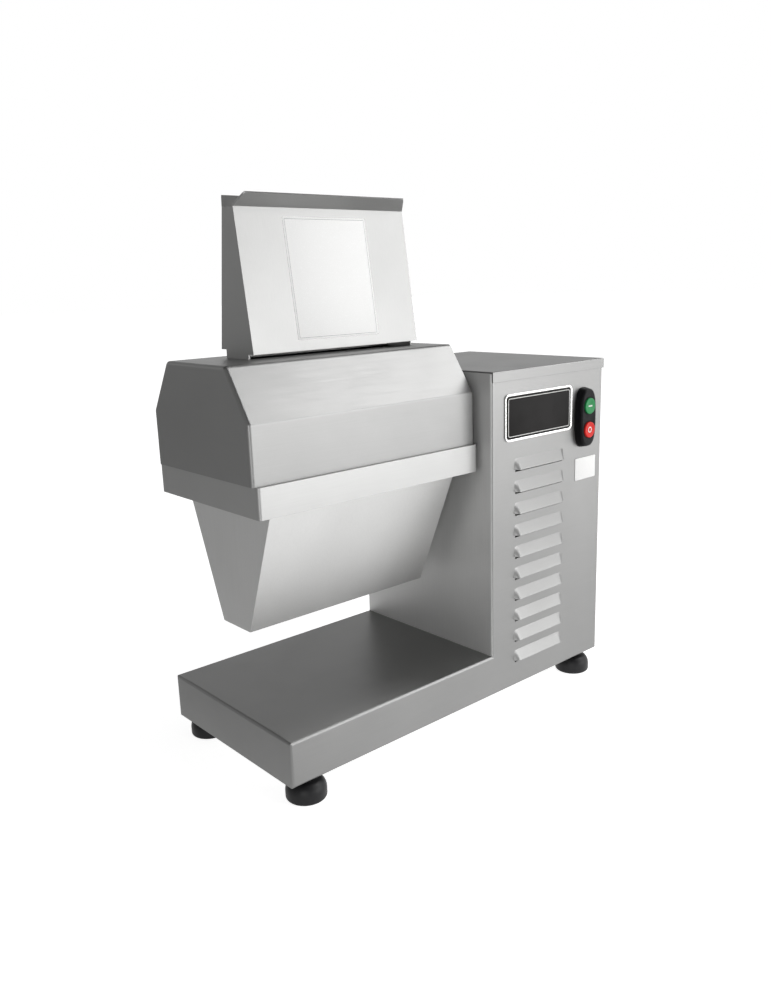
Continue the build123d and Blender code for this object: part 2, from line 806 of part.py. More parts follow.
with BuildPart() as roller_bushes:
    for bush_x, flange_side in ((plate_left_x, plate_left_x + plate_thickness),
                                (plate_right_x, plate_right_x - bush_flange_thickness)):
        for axis_y in (front_axis_y, rear_axis_y):
            with BuildSketch(x_axis(axis_y, roller_z).offset(bush_x)):
                Circle(bush_radius)
                Circle(journal_radius + shaft_play, mode=Mode.SUBTRACT)
            extrude(amount=plate_thickness)
            with BuildSketch(x_axis(axis_y, roller_z).offset(flange_side)):
                Circle(bush_radius + bush_flange)
                Circle(journal_radius + shaft_play, mode=Mode.SUBTRACT)
            extrude(amount=bush_flange_thickness)
write(roller_bushes.part, "roller_bushes")

# ---------------------------------------------------------------- blade cartridge: rollers
collar_length = blade_pitch - blade_thickness - stack_play


def toothed_points(radius, depth, teeth):
    """Corners of a disc with pointed teeth, tip and root in turn."""
    points = []
    for i in range(2 * teeth):
        angle = pi * i / teeth
        reach = radius if i % 2 == 0 else radius - depth
        points.append((reach * cos(angle), reach * sin(angle)))
    return points


def hex_bore():
    return RegularPolygon(hex_across_flats / 2 + hex_play, 6, major_radius=False, mode=Mode.SUBTRACT)


with BuildPart() as blade:  # one blade and its collar, on the X axis, blade to the right
    with BuildSketch(Plane.YZ):
        with BuildLine():
            Polyline(*toothed_points(blade_radius, blade_tooth_depth, blade_teeth), close=True)
        make_face()
        hex_bore()
    extrude(amount=blade_thickness)
    with BuildSketch(Plane.YZ):
        Circle(collar_radius)
        hex_bore()
    extrude(amount=-collar_length)


def end_sleeve(length):
    """A plain sleeve that fills the shaft between the last blade and the end play."""
    with BuildPart() as sleeve:
        with BuildSketch(Plane.YZ):
            Circle(collar_radius)
            hex_bore()
        extrude(amount=length)
    return sleeve.part


front_blade_count = int((stack_right - stack_left) // blade_pitch)
first_front_blade = stack_left + collar_length
front_blade_x = [first_front_blade + i * blade_pitch for i in range(front_blade_count)]
rear_blade_x = [x + blade_pitch / 2 for x in front_blade_x[:-1]]

for stack_name, axis_y, places in (
    ("front_blades", front_axis_y, front_blade_x),
    ("rear_blades", rear_axis_y, rear_blade_x),
):
    before = places[0] - collar_length - stack_play - stack_left
    after = stack_right - places[-1] - blade_thickness - stack_play
    with BuildPart() as blades:
        with Locations(*[(x, axis_y, roller_z) for x in places]):
            add(blade.part)
        if before > blade_thickness:
            with Locations((stack_left, axis_y, roller_z)):
                add(end_sleeve(before))
        with Locations((stack_right - after, axis_y, roller_z)):
            add(end_sleeve(after))
    write(blades.part, stack_name)

for shaft_name, axis_y, shaft_end in (
    ("front_shaft", front_axis_y, tongue_x),
    ("rear_shaft", rear_axis_y, plate_right_x + plate_thickness + end_play),
):
    with BuildPart() as shaft:
        with BuildSketch(x_axis(axis_y, roller_z).offset(stack_left)):
            RegularPolygon(hex_across_flats / 2, 6, major_radius=False)
        extrude(amount=stack_right - stack_left)
        with BuildSketch(x_axis(axis_y, roller_z).offset(gear_x - shaft_tail)):
            Circle(journal_radius)
        extrude(amount=shaft_end - gear_x + shaft_tail)
        if shaft_name == "front_shaft":
            with BuildSketch(x_axis(axis_y, roller_z).offset(shaft_end)):
                Rectangle(tongue_thickness, 2 * journal_radius)
                Circle(journal_radius, mode=Mode.INTERSECT)
            extrude(amount=tongue_length)
    write(shaft.part, shaft_name)

# ---------------------------------------------------------------- blade cartridge: combs
comb_bore = collar_radius + comb_gap


def comb(axis_y, side, finger_x):
    """A stripper comb: a bar between the plates with C-shaped fingers round the collars."""
    shoulder = comb_reach - comb_half_height + comb_bar_half_height
    with BuildSketch() as finger:
        with BuildLine():
            Polyline(
                (side * comb_reach, -comb_bar_half_height),
                (side * shoulder, -comb_half_height),
                (-side * comb_jaw, -comb_half_height),
                (-side * comb_jaw, comb_half_height),
                (side * shoulder, comb_half_height),
                (side * comb_reach, comb_bar_half_height),
                close=True,
            )
        make_face()
        Circle(comb_bore, mode=Mode.SUBTRACT)
        with Locations((-side * comb_jaw / 2, 0)):
            Rectangle(comb_jaw, 2 * comb_bore, mode=Mode.SUBTRACT)
    with BuildPart() as strip:
        with BuildSketch(x_axis(axis_y + side * (comb_reach + comb_bar_thickness / 2), roller_z).offset(
                plate_left_x + plate_thickness)):
            Rectangle(comb_bar_thickness, 2 * comb_bar_half_height)
        extrude(amount=tie_length)
        for x in finger_x:
            with BuildSketch(x_axis(axis_y, roller_z).offset(x - comb_finger / 2)):
                add(finger.sketch)
            extrude(amount=comb_finger)
    return strip.part


def between(places):
    """Middles of the gaps between neighbouring blades."""
    return [x + (blade_thickness + blade_pitch) / 2 for x in places[:-1]]


write(comb(front_axis_y, -1, between(front_blade_x)), "front_comb")
write(comb(rear_axis_y, 1, between(rear_blade_x)), "rear_comb")

# ---------------------------------------------------------------- blade cartridge: gears
def gear_points(teeth, module):
    """Corners of an involute spur gear, with a tooth pointing along its first axis."""
    pitch_radius = teeth * module / 2
    alpha = radians(pressure_angle)
    base_radius = pitch_radius * cos(alpha)
    half_thickness = (pi * module / 2 - gear_backlash) / (2 * pitch_radius)

    def half_angle(radius):
        at = acos(min(1.0, base_radius / radius))
        return half_thickness + (tan(alpha) - alpha) - (tan(at) - at)

    flank = [
        (pitch_radius - gear_dedendum * module, half_angle(base_radius)),
        (base_radius, half_angle(base_radius)),
        (pitch_radius, half_angle(pitch_radius)),
        (pitch_radius + gear_addendum * module, half_angle(pitch_radius + gear_addendum * module)),
    ]
    points = []
    for tooth in range(teeth):
        middle = 2 * pi * tooth / teeth
        for radius, angle in [(r, -a) for r, a in flank] + [(r, a) for r, a in reversed(flank)]:
            points.append((radius * cos(middle + angle), radius * sin(middle + angle)))
    return points


for gear_name, axis_y, turn in (
    ("front_gear", front_axis_y, 0),
    ("rear_gear", rear_axis_y, 180 / gear_teeth),
):
    with BuildPart() as gear:
        with BuildSketch(x_axis(axis_y, roller_z).offset(gear_x)) as wheel_face:
            with BuildLine():
                Polyline(*gear_points(gear_teeth, gear_module), close=True)
            make_face()
            Circle(journal_radius, mode=Mode.SUBTRACT)
        extrude(amount=gear_width)
        with BuildSketch(x_axis(axis_y, roller_z).offset(gear_x)):
            Circle(gear_rim_radius)
            Circle(gear_hub_radius, mode=Mode.SUBTRACT)
        extrude(amount=gear_web, mode=Mode.SUBTRACT)
    turned = gear.part.rotate(Axis((0, axis_y, roller_z), (1, 0, 0)), turn)
    write(turned, gear_name)

# ---------------------------------------------------------------- drive: coupling, output shaft, gearbox
dog_left = tongue_x + dog_play
slot_depth = tongue_length + dog_play
shaft_start = dog_left + slot_depth + dog_play
cavity_half = wheel_width / 2 + cavity_play
wheel_radius = worm_distance - worm_radius - mesh_gap
wheel_cavity = wheel_radius + cavity_play
output_end = gearbox_x + cavity_half + bearing_width

with BuildPart() as drive_dog:
    with BuildSketch(x_axis(front_axis_y, roller_z).offset(dog_left)):
        Circle(dog_radius)
    extrude(amount=dog_length)
    with BuildSketch(x_axis(front_axis_y, roller_z).offset(dog_left)):
        Rectangle(tongue_thickness + 2 * dog_play, 2 * dog_radius)
    extrude(amount=slot_depth, mode=Mode.SUBTRACT)
    with BuildSketch(x_axis(front_axis_y, roller_z).offset(shaft_start)):
        Circle(output_radius)
    extrude(amount=dog_length, mode=Mode.SUBTRACT)
write(drive_dog.part, "drive_dog")

write(rod(x_axis(front_axis_y, roller_z), shaft_start, output_end, output_radius), "output_shaft")

with BuildPart() as gearbox_flange:  # cast stand-off from the stiffener to the gearbox
    with BuildSketch(x_axis(front_axis_y, roller_z).offset(flange_x)):
        Circle(gearbox_flange_radius)
        with PolarLocations(gearbox_bolt_radius, 4, start_angle=45):
            Circle(screw_radius + hole_play, mode=Mode.SUBTRACT)
    extrude(amount=gearbox_flange_thickness)
    with BuildSketch(x_axis(front_axis_y, roller_z).offset(flange_x)):
        Circle(gearbox_neck_radius)
    extrude(amount=gearbox_left - flange_x)
    with BuildSketch(x_axis(front_axis_y, roller_z).offset(flange_x)):
        Circle(dog_radius + wall_hole_play)
    extrude(amount=gearbox_left - flange_x, mode=Mode.SUBTRACT)
write(gearbox_flange.part, "gearbox_flange")

with BuildPart() as gearbox_bolts:
    with BuildSketch(x_axis(front_axis_y, roller_z).offset(stiffener_x)):
        with PolarLocations(gearbox_bolt_radius, 4, start_angle=45):
            Circle(screw_radius)
    extrude(amount=stiffener_thickness + gearbox_flange_thickness)
    with BuildSketch(x_axis(front_axis_y, roller_z).offset(flange_x + gearbox_flange_thickness)):
        with PolarLocations(gearbox_bolt_radius, 4, start_angle=45):
            Circle(screw_head_radius)
    extrude(amount=screw_head_height)
write(gearbox_bolts.part, "gearbox_bolts")

housing_rear = worm_y + worm_radius + gearbox_wall
housing_front = front_axis_y - gearbox_margin
worm_bore = worm_radius + cavity_play
with BuildPart() as gearbox_housing:
    with BuildSketch(x_axis((housing_front + housing_rear) / 2, roller_z).offset(gearbox_left)):
        RectangleRounded(housing_rear - housing_front, 2 * gearbox_margin, gearbox_corner)
    extrude(amount=gearbox_width)
    with BuildSketch(x_axis(front_axis_y, roller_z).offset(gearbox_x - cavity_half)):
        Circle(wheel_cavity)
    extrude(amount=gearbox_right - gearbox_x + cavity_half, mode=Mode.SUBTRACT)
    with BuildSketch(x_axis(front_axis_y, roller_z).offset(gearbox_x - cavity_half - bearing_width)):
        Circle(bearing_radius)
    extrude(amount=bearing_width, mode=Mode.SUBTRACT)
    with BuildSketch(x_axis(front_axis_y, roller_z).offset(gearbox_left)):
        Circle(output_radius + wall_hole_play)
    extrude(amount=gearbox_width / 2, mode=Mode.SUBTRACT)
    with BuildSketch(z_axis(gearbox_x, worm_y).offset(gearbox_floor)):
        Circle(worm_bore)
    extrude(amount=gearbox_margin + worm_length / 2 + cavity_play, mode=Mode.SUBTRACT)
    with BuildSketch(z_axis(gearbox_x, worm_y).offset(gearbox_floor)):
        Circle(bearing_bore)
    extrude(amount=gearbox_margin + worm_length / 2 + 2 * worm_shaft_tip, mode=Mode.SUBTRACT)
write(gearbox_housing.part, "gearbox_housing")

with BuildPart() as gearbox_cover:
    with BuildSketch(x_axis(front_axis_y, roller_z).offset(gearbox_right)):
        Circle(wheel_cavity + cavity_play)
    extrude(amount=cover_thickness)
    with BuildSketch(x_axis(front_axis_y, roller_z).offset(gearbox_x + cavity_half)):
        Circle(bearing_radius + bearing_wall)
    extrude(amount=gearbox_width / 2 - cavity_half)
    with BuildSketch(x_axis(front_axis_y, roller_z).offset(gearbox_x + cavity_half)):
        Circle(bearing_radius)
    extrude(amount=bearing_width, mode=Mode.SUBTRACT)
write(gearbox_cover.part, "gearbox_cover")

with BuildPart() as output_bearings:
    for bearing_x in (gearbox_x - cavity_half - bearing_width, gearbox_x + cavity_half):
        with BuildSketch(x_axis(front_axis_y, roller_z).offset(bearing_x)):
            Circle(bearing_radius)
            Circle(output_radius + shaft_play, mode=Mode.SUBTRACT)
        extrude(amount=bearing_width)
write(output_bearings.part, "output_bearings")

with BuildPart() as worm_wheel:
    with BuildSketch(x_axis(front_axis_y, roller_z).offset(gearbox_x - wheel_width / 2)):
        Circle(wheel_radius)
        Circle(output_radius, mode=Mode.SUBTRACT)
    extrude(amount=wheel_width)
write(worm_wheel.part, "worm_wheel")

with BuildPart() as worm:
    with BuildSketch(z_axis(gearbox_x, worm_y).offset(roller_z - worm_length / 2)):
        Circle(worm_radius)
        Circle(motor_shaft_radius, mode=Mode.SUBTRACT)
    extrude(amount=worm_length)
write(worm.part, "worm")

# ---------------------------------------------------------------- drive: motor
motor_plane = z_axis(gearbox_x, worm_y)
body_top = motor_top - motor_flange_thickness
rotor_floor = motor_floor + (motor_length - rotor_length) / 2
shield_floor = motor_floor - shield_thickness
cowl_floor = motor_floor - cowl_length
fan_floor = cowl_floor + (shield_floor - cowl_floor - fan_height) / 2

with BuildPart() as motor_body:
    with BuildSketch(motor_plane.offset(motor_floor)):
        Circle(motor_radius)
    extrude(amount=motor_length)
    fin_step = (360 - 2 * fin_sector) / (fin_count - 1)
    with BuildSketch(motor_plane.offset(motor_floor + cowl_overlap + fin_height)):
        for i in range(fin_count):
            with PolarLocations(motor_radius, 1, start_angle=fin_sector + i * fin_step):
                Rectangle(2 * fin_height, fin_thickness)
        Circle(motor_radius - fin_height / 2, mode=Mode.SUBTRACT)
    extrude(amount=motor_length - cowl_overlap - 2 * fin_height)
    with BuildSketch(motor_plane.offset(body_top)):
        Circle(motor_flange_radius)
    extrude(amount=motor_flange_thickness)
    with BuildSketch(motor_plane.offset(motor_floor)):
        Circle(bearing_bore)
    extrude(amount=motor_top - motor_floor, mode=Mode.SUBTRACT)
    with BuildSketch(motor_plane.offset(motor_floor)):
        Circle(rotor_radius + rotor_gap)
    extrude(amount=motor_length - shield_thickness, mode=Mode.SUBTRACT)
write(motor_body.part, "motor_body")

with BuildPart() as motor_end_shield:
    with BuildSketch(motor_plane.offset(shield_floor)):
        Circle(motor_radius)
        Circle(bearing_bore, mode=Mode.SUBTRACT)
    extrude(amount=shield_thickness)
write(motor_end_shield.part, "motor_end_shield")

with BuildPart() as motor_rotor:
    with BuildSketch(motor_plane.offset(fan_floor)):
        Circle(motor_shaft_radius)
    extrude(amount=roller_z + worm_length / 2 + worm_shaft_tip - fan_floor)
    with BuildSketch(motor_plane.offset(rotor_floor)):
        Circle(rotor_radius)
    extrude(amount=rotor_length)
write(motor_rotor.part, "motor_rotor")

with BuildPart() as motor_fan:
    with BuildSketch(motor_plane.offset(fan_floor)):
        Circle(fan_hub_radius)
    extrude(amount=fan_height)
    with BuildSketch(motor_plane.offset(fan_floor + fan_height - fan_disc)):
        Circle(fan_radius)
    extrude(amount=fan_disc)
    with BuildSketch(motor_plane.offset(fan_floor)):
        with PolarLocations((fan_radius + fan_hub_radius) / 2, fan_blades):
            Rectangle(fan_radius - fan_hub_radius + 2 * fan_blade_overlap, fan_blade_thickness)
    extrude(amount=fan_height)
    with BuildSketch(motor_plane.offset(fan_floor)):
        Circle(motor_shaft_radius)
    extrude(amount=fan_height, mode=Mode.SUBTRACT)
write(motor_fan.part, "motor_fan")

with BuildPart() as fan_cowl:
    with BuildSketch(motor_plane.offset(cowl_floor)):
        Circle(motor_radius + cowl_sheet)
    extrude(amount=cowl_length + cowl_overlap)
    fillet(fan_cowl.faces().sort_by(Axis.Z)[0].edges(), cowl_round)
    with BuildSketch(motor_plane.offset(cowl_floor + cowl_sheet)):
        Circle(motor_radius)
    extrude(amount=cowl_length + cowl_overlap, mode=Mode.SUBTRACT)
    with BuildSketch(motor_plane.offset(cowl_floor)):
        with PolarLocations(motor_radius / 2, cowl_slots):
            SlotOverall(motor_radius / 2, cowl_slot_width)
    extrude(amount=cowl_sheet, mode=Mode.SUBTRACT)
write(fan_cowl.part, "fan_cowl")

terminal_z = (motor_floor + body_top) / 2
with BuildPart() as terminal_box:
    add(plate(gearbox_x + motor_radius - 2 * fin_height, gearbox_x + motor_radius + terminal_depth,
              worm_y - terminal_width / 2, worm_y + terminal_width / 2,
              terminal_z - terminal_height / 2, terminal_z + terminal_height / 2))
    fillet(terminal_box.faces().sort_by(Axis.X)[-1].edges(), bend_radius)
    with BuildSketch(motor_plane.offset(motor_floor)):
        Circle(motor_radius)
    extrude(amount=motor_length, mode=Mode.SUBTRACT)
write(terminal_box.part, "terminal_box")

capacitor_x = right - gland_inset
with BuildPart() as run_capacitor:
    with BuildSketch(z_axis(capacitor_x, worm_y).offset(under + 2 * sheet)):
        Circle(capacitor_radius)
    extrude(amount=capacitor_height)
    fillet(run_capacitor.faces().sort_by(Axis.Z)[-1].edges(), bend_radius)
write(run_capacitor.part, "run_capacitor")

# ---------------------------------------------------------------- start and stop switch
with BuildPart() as switch_bezel:
    with BuildSketch(Plane(origin=(switch_x, front, switch_z), x_dir=(1, 0, 0), z_dir=(0, -1, 0))):
        SlotOverall(bezel_height, bezel_width, rotation=90)
    extrude(amount=bezel_depth)
    fillet(switch_bezel.faces().sort_by(Axis.Y)[0].edges(), bezel_round)
    with BuildSketch(Plane(origin=(switch_x, front, switch_z), x_dir=(1, 0, 0), z_dir=(0, -1, 0))):
        with GridLocations(button_spacing, button_spacing, 1, 2):
            Circle(button_radius + button_play)
    extrude(amount=bezel_depth, mode=Mode.SUBTRACT)
write(switch_bezel.part, "switch_bezel")

button_face = bezel_depth + button_proud
stem_inner = 4 * sheet + button_travel
for key, z in button_z.items():
    with BuildPart() as button:
        button_plane = Plane(origin=(switch_x, front, z), x_dir=(1, 0, 0), z_dir=(0, -1, 0))
        with BuildSketch(button_plane.offset(button_face - button_length)):
            Circle(button_radius)
        extrude(amount=button_length)
        fillet(button.faces().sort_by(Axis.Y)[0].edges(), button_round)
        with BuildSketch(button_plane.offset(button_face - button_length)):
            Circle(stem_radius)
        extrude(amount=-(button_face - button_length + stem_inner))
    write(button.part, f"{key}_button")

with BuildPart() as switch_block:
    add(plate(switch_x - block_width / 2, switch_x + block_width / 2,
              front + sheet, front + sheet + block_depth,
              switch_z - block_height / 2, switch_z + block_height / 2))
    for z in button_z.values():
        with BuildSketch(Plane(origin=(switch_x, front + sheet, z), x_dir=(1, 0, 0), z_dir=(0, 1, 0))):
            Circle(stem_radius + button_play)
        extrude(amount=stem_inner + button_travel, mode=Mode.SUBTRACT)
write(switch_block.part, "switch_block")

# ---------------------------------------------------------------- hood interlock
sensor_y = head_y + sensor_length
sensor_z = under + sensor_height
for sensor_name, x0, x1 in (
    ("hood_magnet", hood_right - hood_sheet - magnet_thickness, hood_right - hood_sheet),
    ("hood_sensor", stiffener_x, stiffener_x + sensor_thickness),
):
    write(plate(x0, x1, sensor_y - sensor_length / 2, sensor_y + sensor_length / 2,
                sensor_z - sensor_size / 2, sensor_z + sensor_size / 2), sensor_name)

# ---------------------------------------------------------------- cord gland
gland_plane = y_axis(right - gland_inset, under + gland_height)
with BuildPart() as cord_gland:
    with BuildSketch(gland_plane.offset(rear - sheet - gland_inner)):
        Circle(gland_thread)
    extrude(amount=gland_inner + sheet)
    with BuildSketch(gland_plane.offset(rear)):
        RegularPolygon(gland_radius, 6)
    extrude(amount=gland_outer / 2)
    with BuildSketch(gland_plane.offset(rear + gland_outer / 2)):
        Circle(gland_thread)
    extrude(amount=gland_outer / 2)
    fillet(cord_gland.faces().sort_by(Axis.Y)[-1].edges(), sheet)
    with BuildSketch(gland_plane.offset(rear - sheet - gland_inner)):
        Circle(gland_bore)
    extrude(amount=gland_inner + sheet + gland_outer, mode=Mode.SUBTRACT)
write(cord_gland.part, "cord_gland")

with BuildPart() as gland_nut:
    with BuildSketch(gland_plane.offset(rear - sheet - nut_height)):
        RegularPolygon(gland_radius, 6)
        Circle(gland_thread, mode=Mode.SUBTRACT)
    extrude(amount=nut_height)
write(gland_nut.part, "gland_nut")
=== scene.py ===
import json
from math import atan2, copysign, cos, pi, radians, sin

import bmesh
import bpy
from bpy.props import FloatProperty, FloatVectorProperty, IntProperty, PointerProperty
from mathutils import Matrix, Vector


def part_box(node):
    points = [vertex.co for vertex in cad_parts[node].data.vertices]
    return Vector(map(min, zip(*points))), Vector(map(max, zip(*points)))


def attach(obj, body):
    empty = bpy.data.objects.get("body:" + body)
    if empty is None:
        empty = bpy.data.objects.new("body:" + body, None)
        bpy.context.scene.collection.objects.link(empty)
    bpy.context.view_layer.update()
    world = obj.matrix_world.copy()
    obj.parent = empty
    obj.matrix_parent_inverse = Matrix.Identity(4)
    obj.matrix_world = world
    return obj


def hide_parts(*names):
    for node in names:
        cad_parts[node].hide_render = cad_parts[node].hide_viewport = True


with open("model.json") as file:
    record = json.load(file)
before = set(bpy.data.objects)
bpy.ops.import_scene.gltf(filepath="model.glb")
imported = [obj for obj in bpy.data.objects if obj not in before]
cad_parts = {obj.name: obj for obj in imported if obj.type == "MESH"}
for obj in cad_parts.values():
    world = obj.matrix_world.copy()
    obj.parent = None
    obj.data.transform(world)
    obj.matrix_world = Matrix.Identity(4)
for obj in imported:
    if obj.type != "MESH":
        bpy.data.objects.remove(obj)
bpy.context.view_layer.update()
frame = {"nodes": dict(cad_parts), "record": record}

bl_info = {
    "name": "Counter-top meat tenderizer",
    "version": (1, 0, 0),
    "blender": (4, 5, 0),
    "location": "View3D > Sidebar > Tenderizer",
    "description": "Sheet steel case, hood, chute, switch and feet of an electric meat tenderizer",
    "category": "Object",
}

# Metres. +X runs along the base to the tower, +Y to the back, +Z up, origin on the table.
nodes = frame["nodes"]
FRONT = Vector((0, -1, 0))
BACK = Vector((0, 1, 0))
RIGHT = Vector((1, 0, 0))

lid_low, lid_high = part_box("tower_lid")
bezel_low, bezel_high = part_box("switch_bezel")
deck_low, deck_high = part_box("base_deck")
seam_front = deck_low.y  # where the folded rims of the front and rear panels end
seam_rear = deck_high.y
tower_left = deck_high.x
panel_front = bezel_high.y  # outer face of the front panel
panel_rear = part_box("rear_panel")[1].y
lip_reach = 0.004  # nothing but the louvres' lips stands out of the front panel this far
louvre_end = 0.003  # how far a louvre's end slopes in from the panel to its lip
louvre_lips = [v.co for v in nodes["front_panel"].data.vertices if v.co.y < panel_front - lip_reach]
louvre_low = Vector((min(p.x for p in louvre_lips) - louvre_end, 0, min(p.z for p in louvre_lips)))
louvre_high = Vector((max(p.x for p in louvre_lips) + louvre_end, 0, max(p.z for p in louvre_lips)))

# Tolerances, in metres, degrees and shares of a unit normal.
weld_distance = 0.000005  # CAD vertices nearer to each other than this become one
turned_weld_distance = 0.00001
plane_distance = 0.00005  # how near a plane a vertex lies on it
same_place = 0.000001
flat_angle = 1.0  # faces that turn less than this are one flat
fold_angle = 28  # edges sharper than this are rounded
facing = 0.9  # a face looks along an axis when its normal has at least this share along it


# ------------------------------------------------------------------ settings
class TenderizerSheet(bpy.types.PropertyGroup):
    """Finish of the stainless sheet, and the painted light that brightens some of its parts."""

    colour: FloatVectorProperty(
        name="Sheet colour", description="Colour of the stainless sheet", subtype="COLOR",
        size=3, min=0, max=1, default=(0.25, 0.25, 0.2475))
    # Painted light: these five factors brighten copies of the one sheet colour on the hood, head
    # ring, chute, funnel and inner wall. They stand in for light that the lamps don't give these
    # parts.
    hood_painted_brightness: FloatProperty(
        name="Hood tone", description="Brightness of the hood against the case",
        min=0.5, max=2.5, default=1.05)
    ring_painted_brightness: FloatProperty(
        name="Head ring tone", description="Brightness of the head ring against the case",
        min=0.5, max=2.5, default=1.5)
    chute_painted_brightness: FloatProperty(
        name="Chute tone", description="Brightness of the feed chute against the case",
        min=0.5, max=2.5, default=1.28)
    funnel_painted_brightness: FloatProperty(
        name="Funnel tone", description="Brightness of the funnel against the case",
        min=0.5, max=2.6, default=2.4)
    wall_painted_brightness: FloatProperty(
        name="Wall tone", description="Brightness of the tower's inner wall against the case",
        min=0.5, max=2.6, default=2.5)
    metallic: FloatProperty(
        name="Metallic", description="Share of the light that the steel reflects as metal",
        min=0, max=1, default=1.0)
    roughness: FloatProperty(
        name="Roughness", description="How matt the brushed sheet is", min=0, max=1, default=0.42)
    grain_depth: FloatProperty(
        name="Grain depth", description="Strength of the brushing", min=0, max=1, default=0.12)
    edge_round: FloatProperty(
        name="Edge round", description="Rounding of cut sheet edges", subtype="DISTANCE",
        min=0.00005, max=0.002, default=0.0004)


class TenderizerDetails(bpy.types.PropertyGroup):
    """Sizes of the fitted details."""

    louvres: IntProperty(
        name="Louvres", description="Number of louvres in the front panel",
        min=1, max=20, default=10)
    louvre_pitch: FloatProperty(
        name="Louvre pitch", description="Height from one louvre to the next", subtype="DISTANCE",
        default=0.0243)
    louvre_height: FloatProperty(
        name="Louvre height", description="Height of one pressed louvre", subtype="DISTANCE",
        default=0.0128)
    louvre_depth: FloatProperty(
        name="Louvre depth", description="How far the lip of a louvre stands out",
        subtype="DISTANCE", default=0.0056)
    louvre_round: FloatProperty(
        name="Louvre round", description="Length of the rounded end of a louvre",
        subtype="DISTANCE", default=0.0065)
    badge_width: FloatProperty(
        name="Badge width", description="Length of the plain badge plate", subtype="DISTANCE",
        default=0.112)
    badge_height: FloatProperty(
        name="Badge height", description="Height of the plain badge plate", subtype="DISTANCE",
        default=0.050)
    start_colour: FloatVectorProperty(
        name="Start button", description="Colour of the start button", subtype="COLOR",
        size=3, min=0, max=1, default=(0.015, 0.24, 0.07))
    stop_colour: FloatVectorProperty(
        name="Stop button", description="Colour of the stop button", subtype="COLOR",
        size=3, min=0, max=1, default=(0.70, 0.016, 0.010))


def sheet_settings():
    return bpy.context.scene.tenderizer_sheet


def detail_settings():
    return bpy.context.scene.tenderizer_details


# ------------------------------------------------------------------ shader node groups
def new_group(name, inputs, outputs):
    """An empty shader group with named inputs (name, kind, default) and outputs (name, kind)."""
    group = bpy.data.node_groups.new(name, "ShaderNodeTree")
    for label, kind, default in inputs:
        socket = group.interface.new_socket(label, in_out="INPUT", socket_type=kind)
        socket.default_value = default
    for label, kind in outputs:
        group.interface.new_socket(label, in_out="OUTPUT", socket_type=kind)
    return group, group.nodes.new("NodeGroupInput"), group.nodes.new("NodeGroupOutput")


def feed(tree, socket, value):
    """Links another socket to this one, or gives it a plain value."""
    if isinstance(value, bpy.types.NodeSocket):
        tree.links.new(value, socket)
    else:
        socket.default_value = value


def math_node(tree, operation, first, second):
    node = tree.nodes.new("ShaderNodeMath")
    node.operation = operation
    feed(tree, node.inputs[0], first)
    feed(tree, node.inputs[1], second)
    return node.outputs[0]


def noise_node(tree, vector, scale, detail, roughness):
    node = tree.nodes.new("ShaderNodeTexNoise")
    node.inputs["Detail"].default_value = detail
    node.inputs["Roughness"].default_value = roughness
    feed(tree, node.inputs["Scale"], scale)
    tree.links.new(vector, node.inputs["Vector"])
    return node.outputs["Fac"]


def map_range(tree, value, low, high, to_low=0.0, to_high=1.0):
    node = tree.nodes.new("ShaderNodeMapRange")
    node.inputs["From Min"].default_value = low
    node.inputs["From Max"].default_value = high
    node.inputs["To Min"].default_value = to_low
    node.inputs["To Max"].default_value = to_high
    tree.links.new(value, node.inputs["Value"])
    return node.outputs["Result"]


def brushed_grain_group():
    """Fine lines along one direction with slow patches of roller polish over them."""
    group, inputs, outputs = new_group(
        "brushed grain",
        [("Vector", "NodeSocketVector", (0, 0, 0)), ("Stretch", "NodeSocketVector", (1, 1, 1)),
         ("Fineness", "NodeSocketFloat", 900.0)],
        [("Lines", "NodeSocketFloat"), ("Patches", "NodeSocketFloat")])
    scale = group.nodes.new("ShaderNodeVectorMath")
    scale.operation = "MULTIPLY"
    group.links.new(inputs.outputs["Vector"], scale.inputs[0])
    group.links.new(inputs.outputs["Stretch"], scale.inputs[1])
    lines = noise_node(group, scale.outputs[0], inputs.outputs["Fineness"], 4.0, 0.65)
    patches = noise_node(group, inputs.outputs["Vector"], 9.0, 2.0, 0.5)
    group.links.new(lines, outputs.inputs["Lines"])
    group.links.new(patches, outputs.inputs["Patches"])
    return group


def smudge_group():
    """Soft fingerprints and wiping marks: a mask with large and small patches."""
    group, inputs, outputs = new_group(
        "smudges",
        [("Vector", "NodeSocketVector", (0, 0, 0)), ("Scale", "NodeSocketFloat", 22.0)],
        [("Mask", "NodeSocketFloat")])
    broad = noise_node(group, inputs.outputs["Vector"], inputs.outputs["Scale"], 4.0, 0.6)
    group.links.new(map_range(group, broad, 0.48, 0.72), outputs.inputs["Mask"])
    return group


def grit_group():
    """Fine moulded or cast texture, as height and as a speckle mask."""
    group, inputs, outputs = new_group(
        "grit",
        [("Vector", "NodeSocketVector", (0, 0, 0)), ("Scale", "NodeSocketFloat", 1200.0)],
        [("Height", "NodeSocketFloat"), ("Speckle", "NodeSocketFloat")])
    fine = noise_node(group, inputs.outputs["Vector"], inputs.outputs["Scale"], 2.0, 0.5)
    group.links.new(fine, outputs.inputs["Height"])
    group.links.new(map_range(group, fine, 0.55, 0.75), outputs.inputs["Speckle"])
    return group


# ------------------------------------------------------------------ materials
groups = {}
materials = {}
bump_distance = 0.0002


def place_group(tree, name, **values):
    """A node group in a material, fed by Object coordinates."""
    node = tree.nodes.new("ShaderNodeGroup")
    node.node_tree = groups[name]
    coordinates = tree.nodes.new("ShaderNodeTexCoord")
    tree.links.new(coordinates.outputs["Object"], node.inputs["Vector"])
    for label, value in values.items():
        node.inputs[label].default_value = value
    return node


def new_material(name):
    material = bpy.data.materials.new(name)
    material.use_nodes = True
    return material, material.node_tree, material.node_tree.nodes["Principled BSDF"]


